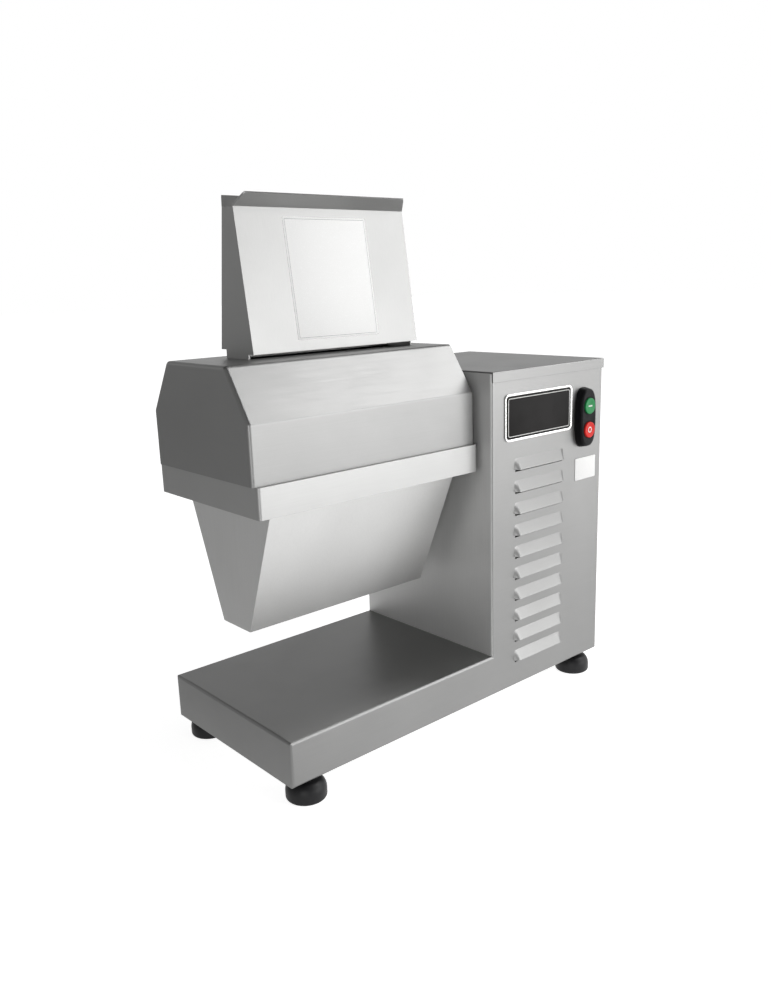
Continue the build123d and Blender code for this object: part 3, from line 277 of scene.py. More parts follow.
def shade_colour(tree, shader, mask, dark, pale):
    """Base colour that moves between two colours with a mask."""
    mix = tree.nodes.new("ShaderNodeMix")
    mix.data_type = "RGBA"
    mix.inputs["A"].default_value = (*dark, 1)
    mix.inputs["B"].default_value = (*pale, 1)
    tree.links.new(mask, mix.inputs["Factor"])
    tree.links.new(mix.outputs["Result"], shader.inputs["Base Color"])


def bump(tree, shader, height, strength):
    node = tree.nodes.new("ShaderNodeBump")
    node.inputs["Strength"].default_value = strength
    node.inputs["Distance"].default_value = bump_distance
    tree.links.new(height, node.inputs["Height"])
    tree.links.new(node.outputs["Normal"], shader.inputs["Normal"])


def tint(colour, factor):
    return tuple(min(1.0, c * factor) for c in colour)


def brushed_material(name, colour, roughness, stretch, fineness=900.0, metallic=1.0):
    """Brushed or ground steel with its lines along one direction."""
    dark, pale, spread, smear, smudge_scale = 0.93, 1.06, 0.05, 0.03, 16.0
    material, tree, shader = new_material(name)
    shader.inputs["Metallic"].default_value = metallic
    grain = place_group(tree, "brushed grain", Stretch=stretch, Fineness=fineness)
    smudge = place_group(tree, "smudges", Scale=smudge_scale)
    lines = math_node(tree, "MULTIPLY", grain.outputs["Lines"], 0.5)
    patches = math_node(tree, "MULTIPLY", grain.outputs["Patches"], 0.5)
    mask = map_range(tree, math_node(tree, "ADD", lines, patches), 0.3, 0.7)
    shade_colour(tree, shader, mask, tint(colour, dark), tint(colour, pale))
    rough = map_range(
        tree, grain.outputs["Lines"], 0.25, 0.75, roughness - spread, roughness + spread)
    smeared = math_node(tree, "MULTIPLY", smudge.outputs["Mask"], smear)
    tree.links.new(math_node(tree, "ADD", rough, smeared), shader.inputs["Roughness"])
    bump(tree, shader, grain.outputs["Lines"], sheet_settings().grain_depth)
    return material


def moulded_material(name, colour, roughness, scale, strength, specular=0.5, metallic=0.0):
    """Moulded plastic, rubber, paint or cast metal: grit in the height, speckle in the colour."""
    pale, smear, smudge_scale = 1.12, 0.08, 30.0
    material, tree, shader = new_material(name)
    shader.inputs["Metallic"].default_value = metallic
    shader.inputs["Specular IOR Level"].default_value = specular
    grit = place_group(tree, "grit", Scale=scale)
    smudge = place_group(tree, "smudges", Scale=smudge_scale)
    shade_colour(tree, shader, grit.outputs["Speckle"], colour, tint(colour, pale))
    rough = map_range(
        tree, smudge.outputs["Mask"], 0.0, 1.0, roughness, min(1.0, roughness + smear))
    tree.links.new(rough, shader.inputs["Roughness"])
    bump(tree, shader, grit.outputs["Height"], strength)
    return material


def make_materials():
    groups["brushed grain"] = brushed_grain_group()
    groups["smudges"] = smudge_group()
    groups["grit"] = grit_group()
    settings, details = sheet_settings(), detail_settings()
    sheet = tuple(settings.colour)
    along_x, along_y, along_z = (0.02, 1.0, 1.0), (1.0, 0.02, 1.0), (1.0, 1.0, 0.02)
    wall_roughness, wall_metallic = 0.5, 0.6 * settings.metallic
    # The hood, ring, chute, funnel and wall copies are painted light: the one sheet colour
    # brightened by a factor, standing in for light these parts don't get from the lamps. The plain
    # sheets keep a factor of 1.
    for key, painted_light, stretch, roughness, metallic in (
        ("sheet along", 1.0, along_x, settings.roughness, settings.metallic),
        ("sheet across", 1.0, along_y, settings.roughness, settings.metallic),
        ("painted-light hood sheet", settings.hood_painted_brightness, along_x, settings.roughness, settings.metallic),
        ("painted-light ring sheet", settings.ring_painted_brightness, along_x, settings.roughness, settings.metallic),
        ("painted-light chute sheet", settings.chute_painted_brightness, along_z, settings.roughness, settings.metallic),
        ("painted-light funnel sheet", settings.funnel_painted_brightness, along_z, settings.roughness, settings.metallic),
        ("painted-light wall sheet", settings.wall_painted_brightness, along_z, wall_roughness, wall_metallic),
    ):
        materials[key] = brushed_material(
            f"stainless {key}", tint(sheet, painted_light), roughness, stretch, metallic=metallic)
    for key, name, colour, roughness, stretch, fineness in (
        ("machined", "machined steel", (0.60, 0.61, 0.62), 0.28, (1.0, 0.3, 0.3), 500.0),
        ("blade", "ground blade steel", (0.66, 0.67, 0.68), 0.22, (0.3, 1.0, 1.0), 700.0),
        ("zinc", "plated fastener", (0.58, 0.58, 0.53), 0.35, (1.0, 1.0, 1.0), 300.0),
        ("bronze", "bearing bronze", (0.55, 0.36, 0.16), 0.32, (1.0, 0.3, 0.3), 500.0),
        ("polished", "polished rim", (0.72, 0.72, 0.71), 0.25, (0.05, 1, 1), 600.0),
    ):
        materials[key] = brushed_material(name, colour, roughness, stretch, fineness)
    materials["cast"] = moulded_material(
        "cast aluminium", (0.50, 0.51, 0.52), 0.55, 700.0, 0.5, metallic=1.0)
    for key, name, colour, roughness, scale, strength, specular in (
        ("rubber", "foot rubber", (0.008, 0.008, 0.009), 0.45, 900.0, 0.2, 0.3),
        ("plastic", "black plastic", (0.015, 0.015, 0.016), 0.45, 1400.0, 0.2, 0.5),
        ("gloss", "gloss black plastic", (0.006, 0.006, 0.007), 0.4, 300.0, 0.03, 0.1),
        ("paint", "black paint", (0.02, 0.02, 0.022), 0.4, 500.0, 0.2, 0.5),
        ("comb", "white comb plastic", (0.72, 0.72, 0.70), 0.45, 1100.0, 0.1, 0.5),
        ("start", "start button plastic", tuple(details.start_colour), 0.4, 1500.0, 0.1, 0.25),
        ("stop", "stop button plastic", tuple(details.stop_colour), 0.4, 1500.0, 0.1, 0.25),
        ("print", "white print", (0.82, 0.82, 0.80), 0.4, 1500.0, 0.05, 0.5),
        ("rule", "grey printed line", (0.32, 0.32, 0.33), 0.45, 1500.0, 0.05, 0.5),
        ("card", "blank white label", (0.90, 0.90, 0.89), 0.5, 1500.0, 0.05, 0.5),
        ("badge", "dark badge enamel", (0.014, 0.013, 0.013), 0.55, 800.0, 0.1, 0.12),
    ):
        materials[key] = moulded_material(name, colour, roughness, scale, strength, specular)


# ------------------------------------------------------------------ modelling helpers
def select_only(piece):
    bpy.ops.object.select_all(action="DESELECT")
    piece.select_set(True)
    bpy.context.view_layer.objects.active = piece


def finish_piece(piece, name, material, body, replaced=()):
    """Applies the place, names the piece, gives it its material and sets it on its body."""
    select_only(piece)
    bpy.ops.object.transform_apply(location=True, rotation=True, scale=True)
    piece.name = name
    piece.data.name = name
    piece.data.materials.clear()
    piece.data.materials.append(materials[material])
    if replaced:
        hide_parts(*replaced)
    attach(piece, body)
    return piece


def settle(piece):
    """Moves a piece's place into its mesh, so that both read the same coordinates."""
    select_only(piece)
    bpy.ops.object.transform_apply(location=True, rotation=False, scale=False)


def apply_modifier(piece, kind, **values):
    modifier = piece.modifiers.new(kind.lower(), kind)
    for label, value in values.items():
        setattr(modifier, label, value)
    select_only(piece)
    bpy.ops.object.modifier_apply(modifier=modifier.name)


def cut(piece, cutter):
    """Takes the cutter's shape out of a piece and removes the cutter."""
    apply_modifier(piece, "BOOLEAN", operation="DIFFERENCE", object=cutter, solver="EXACT")
    bpy.data.objects.remove(cutter)


def smooth(piece, angle=32):
    select_only(piece)
    bpy.ops.object.shade_smooth_by_angle(angle=radians(angle))


def round_edges(piece, width, segments=2, angle=30):
    apply_modifier(piece, "BEVEL", width=width, segments=segments, limit_method="ANGLE",
                   angle_limit=radians(angle), harden_normals=False, use_clamp_overlap=True)


def edit(piece, mode="FACE"):
    select_only(piece)
    bpy.ops.object.mode_set(mode="EDIT")
    bpy.ops.mesh.select_mode(type=mode)


def done():
    bpy.ops.object.mode_set(mode="OBJECT")


def pick_faces(piece, test):
    """In edit mode, selects the faces whose centre and normal pass the test."""
    mesh = bmesh.from_edit_mesh(piece.data)
    for face in mesh.faces:
        face.select_set(False)
    for face in mesh.faces:
        if test(face.calc_center_median(), face.normal):
            face.select_set(True)
    bmesh.update_edit_mesh(piece.data)


def pick_edges(piece, test):
    """In edit mode, selects the edges whose two ends pass the test."""
    mesh = bmesh.from_edit_mesh(piece.data)
    for face in mesh.faces:
        face.select_set(False)
    for edge in mesh.edges:
        edge.select_set(False)
    for edge in mesh.edges:
        if test(edge.verts[0].co, edge.verts[1].co):
            edge.select_set(True)
    bmesh.update_edit_mesh(piece.data)


def join(parts):
    bpy.ops.object.select_all(action="DESELECT")
    for part in parts:
        part.select_set(True)
    bpy.context.view_layer.objects.active = parts[0]
    bpy.ops.object.join()
    return parts[0]


def copy_of(piece, offset):
    """A copy with its own mesh, moved by an offset."""
    twin = piece.copy()
    twin.data = piece.data.copy()
    bpy.context.collection.objects.link(twin)
    twin.location = piece.location + Vector(offset)
    return twin


def block(low, high):
    """A box primitive between two corners, to be shaped further."""
    low, high = Vector(low), Vector(high)
    bpy.ops.object.select_all(action="DESELECT")
    bpy.ops.mesh.primitive_cube_add(size=1, location=(low + high) / 2)
    piece = bpy.context.active_object
    piece.scale = high - low
    bpy.ops.object.transform_apply(location=False, rotation=False, scale=True)
    return piece


def disc(centre, radius, depth, direction, sides=64):
    """A cylinder primitive centred on a point, along a direction."""
    bpy.ops.object.select_all(action="DESELECT")
    bpy.ops.mesh.primitive_cylinder_add(
        vertices=sides, radius=radius, depth=depth, location=centre,
        rotation=Vector(direction).to_track_quat("Z", "Y").to_euler())
    piece = bpy.context.active_object
    bpy.ops.object.transform_apply(location=False, rotation=True, scale=True)
    return piece


def quarter_turn(first, steps):
    """The angles of a quarter turn in equal steps, from the given step to the last."""
    return [pi / 2 * step / steps for step in range(first, steps + 1)]


def spun(centre, profile, steps=72):
    """A turned piece: the profile's points (radius, height) spun round a vertical axis."""
    mesh = bpy.data.meshes.new("turned")
    piece = bpy.data.objects.new("turned", mesh)
    bpy.context.collection.objects.link(piece)
    points = [(r, 0, z) for r, z in profile]
    mesh.from_pydata(points, [(i, i + 1) for i in range(len(points) - 1)], [])
    edit(piece, "VERT")
    bpy.ops.mesh.select_all(action="SELECT")
    bpy.ops.mesh.spin(
        steps=steps, angle=2 * pi, center=(0, 0, 0), axis=(0, 0, 1), use_auto_merge=True)
    bpy.ops.mesh.select_all(action="SELECT")
    bpy.ops.mesh.remove_doubles(threshold=turned_weld_distance)
    bpy.ops.mesh.normals_make_consistent(inside=False)
    done()
    piece.location = centre
    return piece


def rounded_plate(low, high, corner):
    """A thin plate across Y between two corners, with round corners in the XZ plane."""
    plate = block(low, high)
    settle(plate)
    edit(plate, "EDGE")
    pick_edges(plate, lambda a, b: abs(a.x - b.x) < same_place and abs(a.z - b.z) < same_place)
    bpy.ops.mesh.bevel(offset=corner, segments=8, profile=0.5, affect="EDGES")
    done()
    return plate


def thin_frame(low, high, corner, line):
    """A rounded plate opened to a thin line along its border."""
    border = rounded_plate(low, high, corner)
    edit(border, "FACE")
    pick_faces(border, lambda c, n: abs(n.y) > facing)
    bpy.ops.mesh.inset(thickness=line)
    bpy.ops.mesh.bridge_edge_loops()
    done()
    return border


def slot_of(node):
    for part in frame["record"]["subparts"]:
        if part["node"] == node:
            return part["material_slot"]
    raise ValueError(f"no slot for {node}")


def on_plane(point, planes):
    """True where a point lies on one of the planes, each an axis number and a distance."""
    return any(abs(point[axis] - distance) < plane_distance for axis, distance in planes)


def sheet_copy(node, name, material, body, flush=(), width=None, cutters=()):
    """A CAD sheet with its faces merged and its edges rounded, standing for the node.

    Edges that lie on a flush plane meet the next sheet in a ground seam and stay sharp.
    """
    piece = bpy.data.objects.new(name, nodes[node].data.copy())
    bpy.context.collection.objects.link(piece)
    edit(piece, "VERT")
    bpy.ops.mesh.select_all(action="SELECT")
    bpy.ops.mesh.remove_doubles(threshold=weld_distance)
    bpy.ops.mesh.dissolve_limited(angle_limit=radians(flat_angle))
    done()
    for cutter in cutters:
        cut(piece, cutter)
    edit(piece, "EDGE")
    bpy.ops.mesh.select_all(action="DESELECT")
    bpy.ops.mesh.edges_select_sharp(sharpness=radians(fold_angle))
    mesh = bmesh.from_edit_mesh(piece.data)
    for edge in mesh.edges:
        first, second = edge.verts
        if on_plane(first.co, flush) and on_plane(second.co, flush):
            edge.select_set(False)
    bmesh.update_edit_mesh(piece.data)
    bpy.ops.mesh.bevel(
        offset=sheet_settings().edge_round if width is None else width, segments=2, profile=0.6,
        affect="EDGES", clamp_overlap=True)
    done()
    smooth(piece)
    apply_modifier(piece, "WEIGHTED_NORMAL", keep_sharp=True)
    return finish_piece(piece, name, material, body, (node,))


# ------------------------------------------------------------------ pieces
class TENDERIZER_OT_finishes(bpy.types.Operator):
    """Make the finishes and paint every carried-over node"""

    bl_idname = "tenderizer.finishes"
    bl_label = "Finishes"

    def execute(self, context):
        make_materials()
        by_slot = {
            "stainless_sheet": "sheet along",
            "machined_steel": "machined",
            "plated_steel": "zinc",
            "foot_rubber": "rubber",
            "cast_aluminium": "cast",
            "bronze": "bronze",
            "white_plastic": "comb",
            "black_plastic": "plastic",
            "black_paint": "paint",
            "bezel_plastic": "gloss",
            "green_plastic": "start",
            "red_plastic": "stop",
        }
        for name, node in nodes.items():
            blades = name in ("front_blades", "rear_blades")
            node.data.materials.clear()
            node.data.materials.append(materials["blade" if blades else by_slot[slot_of(name)]])
        return {"FINISHED"}


class TENDERIZER_OT_case(bpy.types.Operator):
    """Bent sheets of the base and tower, with their pressed louvres"""

    bl_idname = "tenderizer.case"
    bl_label = "Base and tower"

    def execute(self, context):
        rims = ((1, seam_front), (1, seam_rear))
        front_cutters = (self.corner(panel_front, seam_front), self.wedges(), self.slits())
        front = sheet_copy(
            "front_panel", "front_sheet", "sheet along", "case", rims, cutters=front_cutters)
        rear = sheet_copy(
            "rear_panel", "rear_sheet", "sheet along", "case", rims,
            cutters=(self.corner(seam_rear, panel_rear),))
        for panel in (front, rear):
            self.paint_wall_light_on_rim(panel)
        beside_tower = (0, tower_left)
        sheet_copy("base_deck", "deck_sheet", "sheet along", "case", (*rims, beside_tower))
        # The inner wall's sheet colour is brightened: painted light.
        sheet_copy("tower_inner_wall", "inner_wall_sheet", "painted-light wall sheet", "case", rims)
        sheet_copy("tower_outer_wall", "outer_wall_sheet", "sheet across", "case", rims)
        sheet_copy("tower_lid", "lid_sheet", "sheet along", "case", (beside_tower,))
        sheet_copy("bottom_plate", "bottom_sheet", "sheet along", "case")
        self.louvres()
        return {"FINISHED"}

    def paint_wall_light_on_rim(self, panel):
        """Gives a panel's rim beside the inner wall the wall's finish, with its painted light."""
        rim_width, facing_left = 0.003, -0.8
        panel.data.materials.append(materials["painted-light wall sheet"])
        for face in panel.data.polygons:
            beside = abs(face.center.x - tower_left) < rim_width and face.center.z > deck_high.z
            if beside and face.normal.x < facing_left:
                face.material_index = 1

    def corner(self, first, last):
        """Cuts the square corner of a folded rim to the deck's round bend between the rims."""
        bend, play = 0.003, 0.001
        left, top = deck_low.x, deck_high.z
        cutter = block(
            (left - play, first - play, top - bend), (left + bend, last + play, top + play))
        middle = (left + bend, (first + last) / 2, top - bend)
        cut(cutter, disc(middle, bend, 4 * (last - first), BACK, 48))
        return cutter

    def wedges(self):
        """All that stands out of the panel's face, to be pressed anew."""
        clear, skin, far, above = 0.002, 0.00002, 0.02, 0.02
        return block((louvre_low.x - clear, panel_front - far, louvre_low.z - clear),
                     (louvre_high.x + clear, panel_front - skin, louvre_high.z + above))

    def slits(self):
        """The gap that pressing leaves between each louvre's lip and the panel below it."""
        end, over, under, depth = 0.0015, 0.0004, 0.0028, 0.004
        first = block((louvre_low.x + end, panel_front - over, louvre_low.z - under),
                      (louvre_high.x - end, panel_front + depth, louvre_low.z + over))
        return self.row(first)

    def louvres(self):
        """Pressed louvres: deepest at the open lower lip, closing towards the top and the ends."""
        settings = detail_settings()
        overlap, below, sunk, wall, belly = 0.0006, 0.0003, 0.0003, 0.0008, 1.05
        bpy.ops.object.select_all(action="DESELECT")
        bpy.ops.mesh.primitive_grid_add(x_subdivisions=48, y_subdivisions=14, size=1)
        first = bpy.context.active_object
        middle = (louvre_low.x + louvre_high.x) / 2
        half = (louvre_high.x - louvre_low.x) / 2 + overlap
        foot = louvre_low.z - below
        edit(first, "VERT")
        mesh = bmesh.from_edit_mesh(first.data)
        for vertex in mesh.verts:
            along, rise = half * sin(pi * vertex.co.x), vertex.co.y + 0.5
            inward = min(1.0, (half - abs(along)) / settings.louvre_round)
            depth = settings.louvre_depth * sin(pi / 2 * inward) * (1 - rise ** belly)
            vertex.co = (
                middle + along, panel_front + sunk - depth, foot + settings.louvre_height * rise)
        bmesh.update_edit_mesh(first.data)
        done()
        apply_modifier(first, "SOLIDIFY", thickness=wall, offset=-1)
        round_edges(first, 0.00025, 2, 50)
        smooth(first, 40)
        finish_piece(
            self.row(first), "louvre_row", "sheet along", "case")

    def row(self, first):
        """The lowest one and its copies up the panel, joined."""
        settings = detail_settings()
        rises = [i * settings.louvre_pitch for i in range(1, settings.louvres)]
        return join([first] + [copy_of(first, (0, 0, rise)) for rise in rises])


class TENDERIZER_OT_head(bpy.types.Operator):
    """Head frame, spacer, funnel, hood and feed chute"""

    bl_idname = "tenderizer.head"
    bl_label = "Head, hood and chute"

    def execute(self, context):
        # The ring, funnel, hood and chute take brightened copies of the sheet colour: painted
        # light.
        sheet_copy("head_frame", "head_ring", "painted-light ring sheet", "case")
        sheet_copy("head_spacer", "head_spacer_block", "sheet along", "case")
        sheet_copy("funnel", "funnel_sheet", "painted-light funnel sheet", "case")
        sheet_copy("hood", "hood_sheet", "painted-light hood sheet", "hood", width=0.0006)
        sheet_copy("feed_chute", "chute_sheet", "painted-light chute sheet", "hood", width=0.0005)
        return {"FINISHED"}


class TENDERIZER_OT_feet(bpy.types.Operator):
    """Turned rubber feet"""

    bl_idname = "tenderizer.feet"
    bl_label = "Feet"

    def execute(self, context):
        for place in ("front_left", "rear_left", "front_right", "rear_right"):
            low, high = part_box(f"foot_{place}")
            centre = ((low.x + high.x) / 2, (low.y + high.y) / 2, 0)
            foot = spun(centre, self.profile((high.x - low.x) / 2, high.z))
            smooth(foot, 50)
            finish_piece(
                foot, f"rubber_foot_{place}", "rubber", "case", (f"foot_{place}",))
        return {"FINISHED"}

    def profile(self, radius, top):
        """A drum with a hollow sole, a small round heel and a broad round shoulder."""
        hollow, heel, side, rim = 0.0006, 0.0026, 0.0082, 0.001
        flat, shoulder = 0.9 * radius, 0.55 * radius
        points = [(0, hollow), (0.6 * radius, hollow), (0.65 * radius, 0), (flat, 0)]
        for turn in quarter_turn(1, 6):
            points.append((flat + (radius - flat) * sin(turn), heel * (1 - cos(turn))))
        for turn in quarter_turn(0, 8):
            points.append((shoulder + (radius - shoulder) * cos(turn),
                           side + (top - side - rim) * sin(turn)))
        points += [(0.52 * radius, top - 0.3 * rim), (0.5 * radius, top), (0.24 * radius, top)]
        return points


class TENDERIZER_OT_switch(bpy.types.Operator):
    """Switch bezel and its two buttons"""

    bl_idname = "tenderizer.switch"
    bl_label = "Switch"

    def execute(self, context):
        well_play, well_depth = 0.0003, 0.05
        plate = self.barrel_plate()
        for key in ("start", "stop"):
            low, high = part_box(f"{key}_button")
            centre = Vector(((low.x + high.x) / 2, bezel_low.y, (low.z + high.z) / 2))
            cut(plate, disc(centre, (high.x - low.x) / 2 + well_play, well_depth, BACK))
        round_edges(plate, 0.0003, 2, 50)
        smooth(plate, 35)
        finish_piece(plate, "bezel", "gloss", "case", ("switch_bezel",))
        self.button("start", "green_plastic")
        self.button("stop", "red_plastic")
        return {"FINISHED"}

    def barrel_plate(self):
        """The bezel's body: bowed sides, nearly flat ends and a rounded front edge."""
        squareness, draft, edge_width = 2 / 2.9, 0.94, 0.0024
        middle = (bezel_low + bezel_high) / 2
        half_width = 0.95 * (bezel_high.x - bezel_low.x) / 2
        half_height = 0.99 * (bezel_high.z - bezel_low.z) / 2
        plate = disc(middle, 1, bezel_high.y - bezel_low.y, BACK, 96)
        settle(plate)
        edit(plate, "VERT")
        mesh = bmesh.from_edit_mesh(plate.data)
        for vertex in mesh.verts:
            turn = atan2(vertex.co.z - middle.z, vertex.co.x - middle.x)
            across = copysign(abs(cos(turn)) ** squareness, cos(turn))
            rise = copysign(abs(sin(turn)) ** squareness, sin(turn))
            size = draft if vertex.co.y < middle.y else 1.0
            vertex.co.x = middle.x + size * half_width * across
            vertex.co.z = middle.z + size * half_height * rise
        bmesh.update_edit_mesh(plate.data)
        bpy.ops.mesh.select_mode(type="EDGE")
        pick_edges(plate, lambda a, b: max(a.y, b.y) < middle.y)
        bpy.ops.mesh.bevel(offset=edge_width, segments=6, profile=0.5, affect="EDGES")
        done()
        return plate

    def button(self, key, slot):
        """A cap with a dished face, on its stem, and the mark set into it."""
        cap_length, stem_radius = 0.008, 0.003
        rim, slope, dish = 0.0018, 0.0012, 0.0005
        low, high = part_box(f"{key}_button")
        centre = Vector(((low.x + high.x) / 2, low.y, (low.z + high.z) / 2))
        cap = disc(centre + BACK * cap_length / 2, (high.x - low.x) / 2, cap_length, FRONT)
        settle(cap)
        edit(cap, "FACE")
        pick_faces(cap, lambda c, n: n.y < -facing)
        bpy.ops.mesh.inset(thickness=rim)
        bpy.ops.mesh.inset(thickness=slope)
        bpy.ops.transform.translate(value=(0, dish, 0))
        done()
        round_edges(cap, 0.0006, 3, 25)
        stem_start = low.y + cap_length
        stem = disc((centre.x, (stem_start + high.y) / 2, centre.z), stem_radius,
                    high.y - stem_start, BACK, 32)
        settle(stem)
        round_edges(stem, 0.0003, 2, 40)
        cap = join([cap, stem])
        smooth(cap, 40)
        finish_piece(cap, f"{key}_cap", key, f"{key}_button", (f"{key}_button",))
        face = Vector((centre.x, low.y + dish, centre.z))
        mark = self.bar(face) if key == "start" else self.ring(face)
        smooth(mark, 40)
        finish_piece(mark, f"{key}_mark", "print", f"{key}_button")

    def bar(self, face):
        """The start mark, half sunk into the face."""
        half_length, half_depth, half_width = 0.0034, 0.0003, 0.0008
        half = Vector((half_length, half_depth, half_width))
        mark = block(face - half, face + half)
        round_edges(mark, 0.0002, 2, 40)
        return mark

    def ring(self, face):
        """The stop mark, half sunk into the face."""
        bpy.ops.object.select_all(action="DESELECT")
        bpy.ops.mesh.primitive_torus_add(
            location=face, rotation=(pi / 2, 0, 0), major_radius=0.0028, minor_radius=0.0006,
            major_segments=48, minor_segments=12)
        mark = bpy.context.active_object
        mark.scale = (1, 1, 0.5)
        return mark


class TENDERIZER_OT_plates(bpy.types.Operator):
    """Plain badge plate, blank label and blank card"""

    bl_idname = "tenderizer.plates"
    bl_label = "Plates and labels"

    def execute(self, context):
        self.badge()
        self.label()
        self.card()
        return {"FINISHED"}

    def badge(self):
        """A plain enamelled plate with a thin line, in a raised metal rim."""
        settings = detail_settings()
        middle_x, middle_z = 0.1197, 0.3300
        thickness, rim, recess, corner = 0.0016, 0.0022, 0.0005, 0.006
        skin, line, gap, line_sunk, line_proud = 0.0002, 0.0007, 0.0024, 0.0001, 0.00012
        middle = Vector((middle_x, panel_front, middle_z))
        half = Vector((settings.badge_width / 2, 0, settings.badge_height / 2))
        rim_plate = rounded_plate(middle - half - Vector((0, thickness, 0)), middle + half, corner)
        edit(rim_plate, "FACE")
        pick_faces(rim_plate, lambda c, n: n.y < -facing)
        bpy.ops.mesh.inset(thickness=rim)
        bpy.ops.transform.translate(value=(0, recess, 0))
        done()
        round_edges(rim_plate, 0.0003, 2, 40)
        smooth(rim_plate, 35)
        finish_piece(rim_plate, "badge_rim", "polished", "case")
        inner = half - Vector((rim, 0, rim))
        field = rounded_plate(
            middle - inner - Vector((0, thickness - recess + skin, 0)),
            middle + inner - Vector((0, thickness - recess - skin, 0)), corner - rim)
        round_edges(field, 0.0001, 2, 40)
        smooth(field, 35)
        finish_piece(field, "badge_field", "badge", "case")
        frame_half = inner - Vector((gap, 0, gap))
        face = Vector((middle.x, panel_front - thickness + recess - skin, middle.z))
        pin_line = thin_frame(
            face - frame_half - Vector((0, line_proud, 0)),
            face + frame_half + Vector((0, line_sunk, 0)), corner - rim - gap / 2, line)
        finish_piece(pin_line, "badge_line", "print", "case")

    def label(self):
        """The small blank label under the switch."""
        left, right, bottom, top = 0.1847, 0.2222, 0.2435, 0.2690
        thickness, corner = 0.0005, 0.0012
        label = rounded_plate(
            (left, panel_front - thickness, bottom), (right, panel_front, top), corner)
        round_edges(label, 0.00015, 2, 40)
        smooth(label, 35)
        finish_piece(label, "blank_label", "card", "case")

    def card(self):
        """The blank card on the front sheet of the feed chute, which leans back."""
        left, right = -0.1325, -0.0328
        bottom, top = Vector((0, -0.0209, 0.4215)), Vector((0, -0.0049, 0.5343))
        thickness, sunk, corner = 0.0004, 0.0002, 0.0015
        inset, line, line_corner, line_sunk, line_proud = 0.0016, 0.00035, 0.0008, 0.0001, 0.00005
        height = (top - bottom).length
        along = (top - bottom).normalized()
        outward = RIGHT.cross(along).normalized()
        turn = Matrix((RIGHT, -outward, along)).transposed().to_4x4()
        place = Matrix.Translation(bottom - outward * sunk) @ turn
        card = rounded_plate((left, -thickness, 0), (right, 0, height), corner)
        round_edges(card, 0.00012, 2, 40)
        card.matrix_world = place
        smooth(card, 35)
        finish_piece(card, "blank_card", "card", "hood")
        border = thin_frame(
            (left + inset, -thickness - line_proud, inset),
            (right - inset, -thickness + line_sunk, height - inset), line_corner, line)
        border.matrix_world = place
        finish_piece(border, "blank_card_border", "rule", "hood")


class TENDERIZER_OT_fasteners(bpy.types.Operator):
    """Lid screws, and the rounded cord gland, bottom screws and foot nuts"""

    bl_idname = "tenderizer.fasteners"
    bl_label = "Screws and gland"

    def execute(self, context):
        inset = 0.025
        lip_middle = (lid_low.z + lid_high.z) / 2
        first = self.pan_head(Vector((lid_low.x + inset, lid_high.y, lip_middle)), BACK)
        twin = copy_of(first, (lid_high.x - lid_low.x - 2 * inset, 0, 0))
        finish_piece(first, "lid_screw_left", "zinc", "case")
        finish_piece(twin, "lid_screw_right", "zinc", "case")
        for node in ("cord_gland", "gland_nut"):
            sheet_copy(node, f"{node}_body", "plastic", "case", width=0.0005)
        for node in ("bottom_screws", "foot_nuts"):
            sheet_copy(node, f"{node}_rounded", "zinc", "case", width=0.0004)
        return {"FINISHED"}

    def pan_head(self, place, direction):
        """A domed head with a cross recess, on the sheet."""
        radius, height, brim, sunk = 0.0034, 0.0017, 0.35, 0.0002
        recess_length, recess_width = 0.0044, 0.0007
        profile = [(0, height)]
        for turn in quarter_turn(1, 8):
            profile.append((radius * sin(turn), height * (brim + (1 - brim) * cos(turn))))
        profile += [(radius, -sunk), (0, -sunk)]
        head = spun((0, 0, 0), profile, 40)
        for turn in (0, pi / 2):
            cutter = block((-recess_length / 2, -recess_width / 2, height * 0.45),
                           (recess_length / 2, recess_width / 2, height * 2))
            cutter.rotation_euler = (0, 0, turn)
            bpy.context.view_layer.update()
            cut(head, cutter)
        turned = direction.to_track_quat("Z", "Y").to_matrix().to_4x4()
        head.matrix_world = Matrix.Translation(place) @ turned
        smooth(head, 35)
        return head


